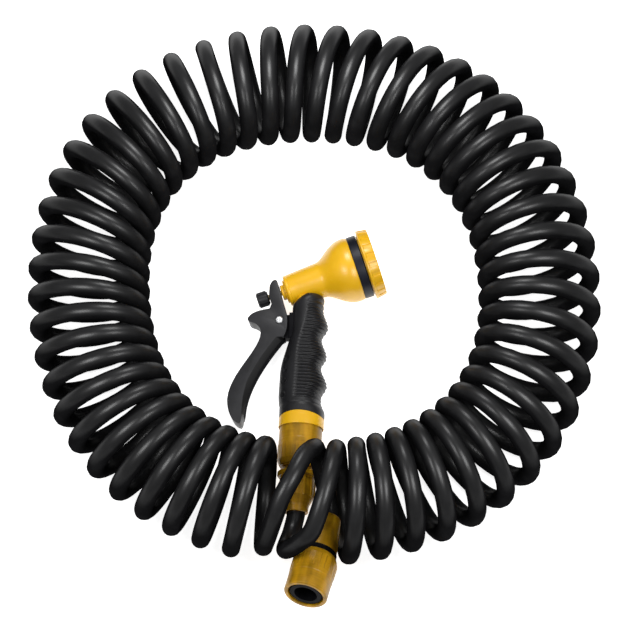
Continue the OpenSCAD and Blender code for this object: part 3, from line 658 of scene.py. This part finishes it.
def repeated(mesh, tree, **values):
    """Runs a Geometry Nodes tree on a mesh and returns the plain result."""
    host = linked("host", mesh)
    modifier = host.modifiers.new("repeat", "NODES")
    modifier.node_group = tree
    named = {item.name: item.identifier for item in tree.interface.items_tree if item.in_out == "INPUT"}
    for label, value in values.items():
        modifier[named[label]] = value
    return applied(host)


def joined_mesh(*meshes, where=None):
    """One mesh of several in its place on the object, with the UV map kept."""
    work = bmesh.new()
    for mesh in meshes:
        work.from_mesh(mesh)
    return settled(work, where)


# ---------------------------------------------------------------- stage

LOOK_HEIGHT = 0.046
SHIFT_X = 0.0030
SHIFT_Y = -0.0461
FLOOR_HALF = 6.0
FLOOR_DROP = 0.0002
FLOOR_GLOW = 0.84
WORLD_LIGHT = 0.3

# Name, place from the ring's centre, size and power
LAMPS = (("back", (0, 0.19, 0.33), 0.13, 0.75), ("left", (-0.26, -0.20, 0.475), 0.19, 1.25),
         ("right", (0.22, -0.20, 0.475), 0.19, 1.25))


def add_camera(settings):
    """The camera, in front of the coil and above it."""
    target = RING_CENTRE + Vector((0, 0, LOOK_HEIGHT))
    back = Vector((0, -cos(settings.elevation), sin(settings.elevation)))
    camera = linked("camera", bpy.data.cameras.new("camera"))
    camera.location = target + back * settings.distance
    camera.rotation_euler = (pi / 2 - settings.elevation, 0, 0)
    camera.data.lens = settings.lens
    camera.data.shift_x = SHIFT_X
    camera.data.shift_y = SHIFT_Y
    bpy.context.scene.camera = camera


def add_floor(colour):
    """A pale floor just under the coil."""
    mesh = bpy.data.meshes.new("floor")
    half = FLOOR_HALF
    corners = [(-half, -half, 0), (half, -half, 0), (half, half, 0), (-half, half, 0)]
    mesh.from_pydata(corners, [], [(0, 1, 2, 3)])
    floor = linked("floor", mesh)
    floor.location.z = -FLOOR_DROP
    paper = Finish("pale_floor")
    grain = paper.noise(paper.where(), 40, 2)
    tint = paper.blend(grain, shade(colour, 0.985), colour)
    mesh.materials.append(paper.surface(Base_Color=tint, Roughness=0.9, Emission_Color=(1, 1, 1, 1),
                                        Emission_Strength=FLOOR_GLOW))


def add_lights():
    """Three soft lamps and a white world."""
    for name, spot, size, power in LAMPS:
        lamp = bpy.data.lights.new(name, "AREA")
        lamp.shape = "SQUARE"
        lamp.size = size
        lamp.energy = power
        linked(name, lamp).location = RING_CENTRE + Vector(spot)
    world = bpy.data.worlds.new("studio")
    world.use_nodes = True
    background = world.node_tree.nodes["Background"].inputs
    background["Color"].default_value = (1, 1, 1, 1)
    background["Strength"].default_value = WORLD_LIGHT
    bpy.context.scene.world = world
    bpy.context.scene.view_settings.view_transform = "Standard"


class HOSEKIT_OT_stage(bpy.types.Operator):
    """Camera, floor and soft studio light"""
    bl_idname = "hosekit.stage"
    bl_label = "Stage"

    def execute(self, context):
        settings = context.scene.hose_kit.stage
        add_camera(settings)
        add_floor(settings.floor)
        add_lights()
        return {"FINISHED"}


# ---------------------------------------------------------------- hose

# Sizes in millimetres, directions round the ring in degrees
COIL_DIAMETER = 92
RING_DIAMETER = 345
TURNS = 51
COIL_ARC = 349
COIL_START = 273.2
FIRST_TURN = 0.125

# How far the inside of a turn stands round the ring past its outside, on the whole and at both ends
LEAN_MEAN = 0.8
FIRST_LEAN = 2.8
START_LEAN = 3.4
START_TURNS = 8
END_LEAN = -2.2
END_TURNS = 9

# How the first turn stands back and the last one is drawn in, and the share of the hose's radius
# by which the tops sag
FIRST_OPEN = 3.4
LAST_PULL = 5.5
PULL_TURNS = 0.7
TOP_SAG = 0.2

# Cosine and sine parts of the slow waves round the ring
RING_WAVES = [(0, 0), (-0.7, -1.3), (0.6, 0.2), (-3, -0.5)]
PITCH_WAVES = [(-1.5, -2.3), (-1.1, -0.5), (0.5, -0.4)]
LEAN_WAVES = [(-1.4, 0.7), (-0.7, 0), (-0.7, -0.3)]

# On a nut's axis from its end: how deep the hose sits, a point between, and how far it goes on straight
HOSE_GRIP = 14
HOSE_BETWEEN = -3
HOSE_EXIT = 2.5

# Points of the two leads, from the ring's centre
GUN_LEAD = [(-16, -184, 17), (-19.8, -198, 28), (-18.9, -205, 44), (-10.4, -204.8, 59.5)]
TAP_LEAD = [(-28.2, -190.5, 71.5), (-22.5, -178, 82.5), (-14.2, -163, 86), (-6.4, -146, 80.5),
            (0.4, -136, 69), (2.6, -133.5, 57), (4.4, -137, 46.5), (6.8, -144.5, 35.5),
            (9.2, -154, 27.5), (11.4, -164.5, 23.3)]
LEAD_STEPS = 6


def ramp(low, high, x):
    """Smooth rise from 0 at low to 1 at high."""
    t = min(1.0, max(0.0, (x - low) / (high - low)))
    return t * t * (3 - 2 * t)


def waves(terms, angle):
    """Sum of waves round the ring at an angle in degrees, the first with one period."""
    return sum(c * cos(radians((i + 1) * angle)) + s * sin(radians((i + 1) * angle))
               for i, (c, s) in enumerate(terms))


def coil_point(u, hose_r):
    """Centre of the hose after u turns, in millimetres from the ring's centre, on the floor."""
    first = max(0.0, 1 - u) ** 1.5
    turn = COIL_START + COIL_ARC / TURNS * u + waves(PITCH_WAVES, 360 * u / TURNS) - FIRST_OPEN * first
    lean = (LEAN_MEAN + waves(LEAN_WAVES, turn) + FIRST_LEAN * first
            + START_LEAN * max(0.0, 1 - u / START_TURNS)
            + END_LEAN * max(0.0, 1 - (TURNS - u) / END_TURNS))
    azimuth = turn + lean * (1 - cos(tau * u)) / 2
    wind_r = COIL_DIAMETER / 2 - hose_r
    top = 2 * wind_r + hose_r * (1 - TOP_SAG)
    r = (RING_DIAMETER / 2 + waves(RING_WAVES, azimuth) + wind_r * cos(tau * u)
         - LAST_PULL * ramp(TURNS - PULL_TURNS, TURNS, u))
    return Vector((r * cos(radians(azimuth)), r * sin(radians(azimuth)),
                   (top + hose_r) / 2 + (top - hose_r) / 2 * sin(tau * u)))


def through(points):
    """Points of a smooth curve through the given points."""
    made = []
    ends = [2 * points[0] - points[1]] + points + [2 * points[-1] - points[-2]]
    for a, b, c, d in zip(ends, ends[1:], ends[2:], ends[3:]):
        for i in range(LEAD_STEPS):
            t = i / LEAD_STEPS
            made.append(0.5 * (2 * b + (c - a) * t + (2 * a - 5 * b + 4 * c - d) * t * t
                               + (3 * b - a - 3 * c + d) * t ** 3))
    return made + [points[-1]]


def hose_route(settings):
    """The hose's centreline in metres, from inside the gun connector's nut to inside the tap connector's."""
    hose_r = settings.diameter / MM / 2
    steps = settings.steps
    eighth = steps // 8
    gun_end = [GUN_MOUTH + HANDLE_DIR * (NUT_END + past) * MM
               for past in (-HOSE_GRIP, HOSE_BETWEEN, HOSE_EXIT)]
    tap_end = [TAP_MOUTH + TAP_DIR * (NUT_END + past) * MM
               for past in (HOSE_EXIT, HOSE_BETWEEN, -HOSE_GRIP)]
    coil = [RING_CENTRE + coil_point(FIRST_TURN + i / steps, hose_r) * MM
            for i in range(int((TURNS - FIRST_TURN) * steps) + 1)]
    gun_lead, tap_lead = ([RING_CENTRE + Vector(p) * MM for p in lead] for lead in (GUN_LEAD, TAP_LEAD))
    # Each lead aims at a point an eighth of a turn into the coil, and stops where the coil ends
    lead_in = through(gun_end + gun_lead + [coil[0], coil[eighth]])
    lead_out = through([coil[-eighth - 1], coil[-1]] + tap_lead + tap_end)
    return lead_in[:-LEAD_STEPS - 1] + coil + lead_out[LEAD_STEPS + 1:]


class HOSEKIT_OT_hose(bpy.types.Operator):
    """The coiled hose, from the gun's connector to the tap connector"""
    bl_idname = "hosekit.hose"
    bl_label = "Hose"

    def execute(self, context):
        settings = context.scene.hose_kit.hose
        route = hose_route(settings)
        line = bpy.data.meshes.new("route")
        line.from_pydata(route, [(i, i + 1) for i in range(len(route) - 1)], [])
        skin = finishes(context.scene.hose_kit)["hose_skin"]
        tube = repeated(line, tube_tree(), Radius=settings.diameter / 2, Sides=settings.sides, Material=skin)
        hose = piece("hose", tube, "hose_skin", "hose", "hose_coil", smooth=60)
        length = sum((b - a).length for a, b in zip(route, route[1:]))
        on_it = [NODES[name] for name in ("hose_end_gun", "hose_end_tap")]
        on_it += [NODES[name] for name in NODES if name.startswith("tap_conn")]
        on_it += [bpy.data.objects[name] for name in ("tap_sleeve", "tap_nut", "tap_spring")]
        return {"FINISHED"}


# ---------------------------------------------------------------- gun


def repeated_round(outline, sides, lug, count, slot, where, closed=True):
    """A turned body with copies of a lug round it, in its place on the object."""
    material = finishes(bpy.context.scene.hose_kit)[slot]
    lugs = repeated(lug, around_tree(), Count=count, Material=material)
    return joined_mesh(settled(lathe(outline, sides, closed)), lugs, where=where)


class HOSEKIT_OT_barrel(bpy.types.Operator):
    """The yellow barrel with its bell, and the tube inside the grip"""
    bl_idname = "hosekit.barrel"
    bl_label = "Barrel"

    def execute(self, context):
        bell = bezier((13.7, 9), (14.5, 15), (24.4, 21), (BELL_R, BELL_END), 28)
        rear = rounded([(8, BARREL_BACK + 0.4), (8.4, BARREL_BACK), (11.3, BARREL_BACK),
                        (12, BARREL_BACK + 0.9), (12.02, -16.6), (11.8, -16.3), (11.8, -16.0),
                        (12.06, -15.7), (12.9, -4)], 0.4)
        front = rounded([(BELL_R, BELL_END), (24.7, 34.5), (24.2, BARREL_FRONT - 0.2), (23.5, BARREL_FRONT),
                         (0, BARREL_FRONT)], 0.5)
        barrel = settled(lathe([(0, BARREL_BACK + 0.4)] + rear + bell + front, 128), ON_BARREL)
        tube = settled(lathe([(0, 12), (TUBE_R, 12), (TUBE_R, GRIP_FOOT), (0, GRIP_FOOT)], 48), ON_HANDLE)
        piece("barrel", joined_mesh(barrel, tube), "yellow_plastic", "gun", "gun_body")
        return {"FINISHED"}


def finger_bump(d):
    """Swell of a finger bump, 0 to 1, at d mm below the barrel's axis; it falls faster than it rises."""
    p = (d - BUMPS_FROM) / BUMP_PITCH
    q = p - floor(p)
    if p < 0 or p > BUMPS:
        return 0.0
    if q < BUMP_RISE:
        return (1 - cos(pi * q / BUMP_RISE)) / 2
    return (1 + cos(pi * (q - BUMP_RISE) / (1 - BUMP_RISE))) / 2


def thumb_dimple(d, off):
    """Depth of the thumb dimples at d mm below the barrel's axis and off mm beside their row."""
    row = 1 - (off / DIMPLE_HALF_WIDTH) ** 2
    return DIMPLE_DEPTH * sum(max(0.0, row - ((d - at) / DIMPLE_HALF_HEIGHT) ** 2) ** 0.7
                              for at in DIMPLES_AT)


def grip_ring(d, count, settings):
    """Points round the grip at d mm below the barrel's axis, in the handle's frame."""
    # The top closes in an arch that lies against the barrel
    arch = sqrt(max(0.0, 1 - (max(0.0, ARCH_END - d) / (ARCH_END + 0.05 - GRIP_TOP)) ** 2))
    rear = (GRIP_SLIM * arch + (GRIP_PALM - GRIP_SLIM) * ramp(PALM_FROM, PALM_TO, d)
            - (GRIP_PALM - GRIP_FLARE) * ramp(FLARE_AT - 5, FLARE_END, d))
    front = (GRIP_SLIM * arch + BUMP_HEIGHT * finger_bump(d) + FRONT_SWELL * ramp(SWELL_FROM, FLARE_AT, d)
             + (GRIP_FLARE - GRIP_SLIM - FRONT_SWELL) * ramp(FLARE_AT, FLARE_END, d))
    half = (GRIP_SIDE * (0.7 + 0.3 * arch) - SIDE_WAIST * ramp(WAIST_FROM, WAIST_TO, d)
            + (GRIP_FLARE - GRIP_SIDE + SIDE_WAIST) * ramp(WIDENS_FROM, FLARE_END, d))
    ribbed = ramp(RIBS_FROM - 2, RIBS_FROM, d) * (1 - ramp(RIBS_TO, RIBS_TO + 3, d))
    wave = 0.5 + 0.5 * cos(tau * (d - RIBS_FROM) / (settings.ribs / MM))
    groove = (1 - wave) ** 0.8 * ribbed * settings.rib_depth / MM
    # The ribs reach further back towards the foot
    rib_start = 1.5 - 6.5 * ramp(20, 60, d)
    crease = (CREASE_DEPTH * ramp(CREASE_FROM, CREASE_FROM + 0.6, d)
              * (1 - ramp(CREASE_TO, CREASE_TO + 0.6, d)))
    slant = -BARREL_DIR.dot(HANDLE_DIR) / sqrt(1 - BARREL_DIR.dot(HANDLE_DIR) ** 2)
    front_level = 1 - ramp(ARCH_END, ARCH_END + 4.1, d)
    rear_level = 0.7 - 0.7 * ramp(ARCH_END, ARCH_END + 16, d)
    scallop = FOOT_SCALLOP * ramp(GRIP_FOOT - 10, GRIP_FOOT, d)
    points = []
    for k in range(count):
        c, s = cos(tau * k / count), sin(tau * k / count)
        x = (front if c > 0 else rear) * c
        beside = abs(atan2(abs(s), c) - DIMPLE_TURN) * rear
        inward = groove * ramp(rib_start - 1.5, rib_start + 2.5, x) + crease + thumb_dimple(d, beside)
        level = front_level if x > 0 else rear_level
        points.append((x - c * inward, (half - inward) * s, d - x * slant * level - scallop * s * s))
    return points


class HOSEKIT_OT_grip(bpy.types.Operator):
    """The soft grip with its finger bumps, ribs, thumb dimples and flared foot"""
    bl_idname = "hosekit.grip"
    bl_label = "Grip"

    def execute(self, context):
        settings = context.scene.hose_kit.gun
        fine = 0.3
        levels = [GRIP_TOP + drop for drop in (0, 0.04, 0.15, 0.4, 0.9, 1.7, 2.8, 4.2, 5.4)]
        levels += [ARCH_END + fine * i for i in range(int((100 - ARCH_END) / fine) + 1)]
        levels += [GRIP_FOOT - rise for rise in (7, 5.5, 4, 2.5, 0.9, 0.3, 0)]
        rings = [grip_ring(d, 160, settings) for d in levels]
        rings[-1] = [(x * FOOT_SHARE, y * FOOT_SHARE, z) for x, y, z in rings[-1]]
        piece("grip", settled(loft(rings), ON_HANDLE), "soft_rubber", "gun", "grip_cover", smooth=60)
        return {"FINISHED"}


def bevel_inner_edge(work):
    """Moves the lever's two outer faces back from its inner edge and marks the slopes this leaves, which the
    lever's finish paints in shade.
    """
    pivot = Vector(JOINTS["trigger_pivot"]["pos_m"])
    forward = Matrix.Rotation(-LEVER_TURN, 3, PIN_DIR) @ BARREL_DIR
    up = PIN_DIR.cross(forward)
    edge = bezier(*EDGE_LOW, 20) + bezier(*EDGE_HIGH, 80)
    for vert in work.verts:
        arm = (vert.co - pivot) / MM
        if abs(arm.dot(PIN_DIR)) < LEVER_FACE:
            continue
        at = Vector((arm.dot(forward), arm.dot(up)))
        near = min(range(len(edge)), key=lambda i: (edge[i] - at).length)
        if (edge[near] - at).length > EDGE_REACH:
            continue
        along = (edge[min(near + 1, len(edge) - 1)] - edge[max(near - 1, 0)]).normalized()
        back = BEVEL_BACK * min(1.0, near / BEVEL_GROWS)
        vert.co += (-along.y * forward + along.x * up) * back * MM
    work.normal_update()
    # The marked slopes carry painted shade: the lever's finish turns them nearly black
    painted_shade_slope = work.faces.layers.float.new("bevel")
    for face in work.faces:
        face[painted_shade_slope] = float(0.2 < abs(face.normal.dot(PIN_DIR)) < 0.98)


def merged(node):
    """A copy of a CAD node's mesh with its doubled points merged, in metres."""
    work = bmesh.new()
    work.from_mesh(NODES[node].data)
    bmesh.ops.remove_doubles(work, verts=work.verts, dist=1e-6)
    return work


def spring(name, node, body, joint, where, pushed, fixed):
    """A steel spring that rides on a body, with its pushed and fixed ends given in millimetres."""
    made = piece(name, settled(merged(node)), "steel", body, node, smooth=60)
    travel = JOINTS[joint]["range_m"][1] / MM
    1 - travel / abs(fixed - pushed)
    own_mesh(made)


def softened(node, width, reshape=None):
    """A merged copy of a CAD node's mesh with its edges rounded, in metres."""
    work = merged(node)
    bmesh.ops.dissolve_limit(work, angle_limit=radians(0.5), verts=work.verts, edges=work.edges)
    if reshape:
        reshape(work)
    host = linked("host", settled(work))
    bevel = host.modifiers.new("edges", "BEVEL")
    bevel.width = width
    bevel.segments = 3
    bevel.limit_method = "ANGLE"
    bevel.angle_limit = radians(32)
    return applied(host)


class HOSEKIT_OT_trigger(bpy.types.Operator):
    """The trigger lever, the bracket it turns on and its steel pin"""
    bl_idname = "hosekit.trigger"
    bl_label = "Trigger"

    def execute(self, context):
        lever = softened("trigger_lever", 0.0009, bevel_inner_edge)
        piece("trigger", lever, "charcoal_plastic", "trigger", "trigger_lever")
        piece("bracket", softened("pivot_bracket", 0.0003), "black_plastic", "gun", "pivot_bracket")
        half = PIN_HALF
        pin = rounded([(0, -half - 1.1), (2.2, -half - 1.0), (2.9, -half - 0.4), (2.9, -half), (2, -half),
                       (2, half), (2.9, half), (2.9, half + 0.4), (2.2, half + 1.0), (0.9, half + 1.1),
                       (0.7, half + 0.75), (0, half + 0.7)], 0.3)
        piece("pin", settled(lathe(pin, 48), AT_PIVOT), "steel", "gun", "pivot_pin")
        return {"FINISHED"}


class HOSEKIT_OT_valve(bpy.types.Operator):
    """The gland behind the barrel and the ridged flow knob on the stem"""
    bl_idname = "hosekit.valve"
    bl_label = "Valve"

    def execute(self, context):
        kit = context.scene.hose_kit
        face = BARREL_BACK - 4
        gland = rounded([(STEM_R, face + 0.4), (2.5, face), (5.4, face), (6, face + 0.6), (6, -19.9),
                         (6.6, -19.8), (8.7, -19.8), (9, -19.5), (9, BARREL_BACK), (8, BARREL_BACK),
                         (8, GLAND_END), (STEM_R, GLAND_END)], 0.3)
        mesh = settled(lathe([(STEM_R, GLAND_END)] + gland, 64), ON_BARREL)
        piece("gland", mesh, "yellow_plastic", "gun", "rear_gland")
        back, front = KNOB_BACK, KNOB_FRONT
        outline = rounded([(0, back + 0.3), (3.6, back + 0.3), (3.9, back), (4.8, back), (5.5, back + 0.8),
                           (5.5, front - 1.2), (4.6, front), (STEM_R, front)], 0.3)
        ridge = settled(block(4.6, 6.0, 1.25, back + 0.6, front - 1.1, 0.35))
        knob = repeated_round(outline, 56, ridge, kit.gun.knurls, "charcoal_plastic", ON_BARREL)
        piece("knob", knob, "black_plastic", "knob", "flow_knob", finish="charcoal_plastic")
        spring("valve_spring", "closing_spring", "gun", "stem_slide", ON_BARREL, PLUNGER_AT, GLAND_END)
        return {"FINISHED"}


class HOSEKIT_OT_spray_head(bpy.types.Operator):
    """The black turret band and the yellow spray dial with its lugs"""
    bl_idname = "hosekit.spray_head"
    bl_label = "Spray head"

    def execute(self, context):
        kit = context.scene.hose_kit
        band = rounded([(0, BARREL_FRONT - 3), (20, BARREL_FRONT - 3), (20, BARREL_FRONT),
                        (24.1, BARREL_FRONT), (24.3, BARREL_FRONT + 0.4), (24.3, BASE_FRONT - 0.4),
                        (23.9, BASE_FRONT), (0, BASE_FRONT)], 0.3)
        turret = settled(lathe(band, 128), ON_BARREL)
        piece("turret", turret, "black_plastic", "gun", "turret_base", finish="band")
        rim = rounded([(0, BASE_FRONT + 0.4), (23.2, BASE_FRONT + 0.4), (23.2, RIM_AT), (26.5, RIM_AT),
                       (27, RIM_AT + 0.5), (26.7, RIM_AT + 1.8), (26.1, RIM_AT + 2.2),
                       (25.1, RIM_FRONT - 0.6), (24.8, RIM_FRONT), (23.8, RIM_FRONT),
                       (23.4, RIM_FRONT - 0.8), (23.4, FACE_AT), (0, FACE_AT)], 0.35)
        lug = settled(block(25.2, 26.95, 3.9, 0.8, RIM_DEPTH - 0.1, 0.35))
        slope = Matrix.Identity(4)
        slope[0][2] = -RIM_TAPER / RIM_DEPTH
        lug.transform(Matrix.Translation((0, 0, RIM_AT * MM)) @ slope)
        dial = repeated_round(rim, 132, lug, kit.gun.lugs, "yellow_plastic", ON_BARREL)
        piece("dial", dial, "yellow_plastic", "dial", "spray_dial")
        return {"FINISHED"}


# ---------------------------------------------------------------- connectors


def sleeve(settings, where):
    """A release sleeve with its flutes."""
    outline = rounded([(13.5, 0), (15.2, 0), (16, 0.8), (16, 13.5), (16.2, 14.2), (16.2, 29),
                       (15.4, 31.4), (14.6, 33), (14.1, 33), (14.1, 13.4), (12.55, 13.4), (12.55, 4.4),
                       (13.1, 3.6), (13.1, 0.5), (13.5, 0)], 0.5)
    flute = settled(block(15.9, 16.45, 1.1, 17.5, 28.5, 0.25))
    return repeated_round(outline, 128, flute, settings.flutes, "amber_plastic", where, closed=False)


class HOSEKIT_OT_connectors(bpy.types.Operator):
    """The snap connectors' sleeves and nuts, in clear amber plastic"""
    bl_idname = "hosekit.connectors"
    bl_label = "Connectors"

    def execute(self, context):
        settings = context.scene.hose_kit.connector
        gun_sleeve = sleeve(settings, ON_GUN_CONNECTOR)
        tap_sleeve = sleeve(settings, ON_TAP_CONNECTOR)
        piece("gun_sleeve", gun_sleeve, "amber_plastic", "gun_sleeve", "gun_conn_sleeve")
        piece("tap_sleeve", tap_sleeve, "amber_plastic", "tap_sleeve", "tap_conn_sleeve")
        spring("gun_spring", "gun_conn_spring", "hose", "gun_sleeve_slide", ON_GUN_CONNECTOR, *SLEEVE_SPRING)
        spring("tap_spring", "tap_conn_spring", "hose", "tap_sleeve_slide", ON_TAP_CONNECTOR, *SLEEVE_SPRING)
        inside = [(8.4, NUT_END), (NUT_BORE, NUT_END - 0.4), (NUT_BORE, 60), (11, 53), (11, NUT_AT)]
        flanged = rounded([(11, NUT_AT), (14.8, NUT_AT), (15.5, NUT_AT + 0.7), (15.5, NUT_AT + 3.3),
                           (14.8, NUT_AT + 4), (13, NUT_AT + 4.4), (12.7, 56.5), (9.6, 62.5), (9.2, 64),
                           (9, NUT_END - 0.5)] + inside, 0.4)
        rib = settled(block(12.2, 13.6, 1.8, NUT_AT + 3.8, 57, 0.4))
        nut = repeated_round(flanged, 96, rib, settings.nut_ribs, "amber_plastic", ON_GUN_CONNECTOR,
                             closed=False)
        piece("gun_nut", nut, "amber_plastic", "hose", "gun_conn_nut")
        cone = rounded([(11, NUT_AT), (12.9, NUT_AT), (13.2, NUT_AT + 0.4), (12.8, NUT_AT + 6),
                        (9.2, NUT_END - 1.2)] + inside, 0.4)
        nut = settled(lathe(cone, 96, closed=False), ON_TAP_CONNECTOR)
        piece("tap_nut", nut, "amber_plastic", "hose", "tap_conn_nut")
        end = GRIP_FOOT + COLLAR
        inner = end - SKIRT
        foot = rounded([(0, GRIP_FOOT - 5), (16.3, GRIP_FOOT - 5), (16.7, GRIP_FOOT - 4.6),
                        (16.7, GRIP_FOOT - 0.2), (17, GRIP_FOOT + 0.2), (17, end - 0.5), (16.8, end),
                        (16.4, end), (16.4, inner), (0, inner)], 0.3)
        nipple = [(0, inner), (8, inner), (8, CONN_AT + 21), (7, CONN_AT + 21.9), (0, CONN_AT + 21.9)]
        mesh = joined_mesh(settled(lathe(foot, 112)), settled(lathe(nipple, 48)), where=ON_HANDLE)
        piece("foot", mesh, "yellow_plastic", "gun", "hose_adaptor")
        return {"FINISHED"}


class HOSEKIT_OT_fittings(bpy.types.Operator):
    """Finishes for the CAD model's own meshes, which show where no piece replaces them"""
    bl_idname = "hosekit.fittings"
    bl_label = "Fittings"

    def execute(self, context):
        by_slot = finishes(context.scene.hose_kit)
        for part in frame["record"]["subparts"]:
            node = NODES[part["node"]]
            node.data.materials.clear()
            node.data.materials.append(by_slot[part["material_slot"]])
        return {"FINISHED"}


# ---------------------------------------------------------------- add-on

STEPS = (HOSEKIT_OT_stage, HOSEKIT_OT_connectors, HOSEKIT_OT_hose, HOSEKIT_OT_barrel, HOSEKIT_OT_grip,
         HOSEKIT_OT_trigger, HOSEKIT_OT_valve, HOSEKIT_OT_spray_head, HOSEKIT_OT_fittings)


class HOSEKIT_PT_sidebar(bpy.types.Panel):
    """Steps that build the dressed hose"""
    bl_label = "Coiled hose"
    bl_idname = "HOSEKIT_PT_sidebar"
    bl_space_type = "VIEW_3D"
    bl_region_type = "UI"
    bl_category = "Hose"

    def draw(self, context):
        for step in STEPS:
            self.layout.operator(step.bl_idname)


CLASSES = (HoseSettings, GunSettings, ConnectorSettings, StageSettings, HoseKitSettings, *STEPS,
           HOSEKIT_PT_sidebar)


def register():
    for kind in CLASSES:
        bpy.utils.register_class(kind)
    bpy.types.Scene.hose_kit = PointerProperty(type=HoseKitSettings)


def unregister():
    del bpy.types.Scene.hose_kit
    for kind in reversed(CLASSES):
        bpy.utils.unregister_class(kind)


def main():
    register()
    for step in STEPS:
        getattr(bpy.ops.hosekit, step.bl_idname.split(".")[1])()


if __name__ == "__main__":
    main()
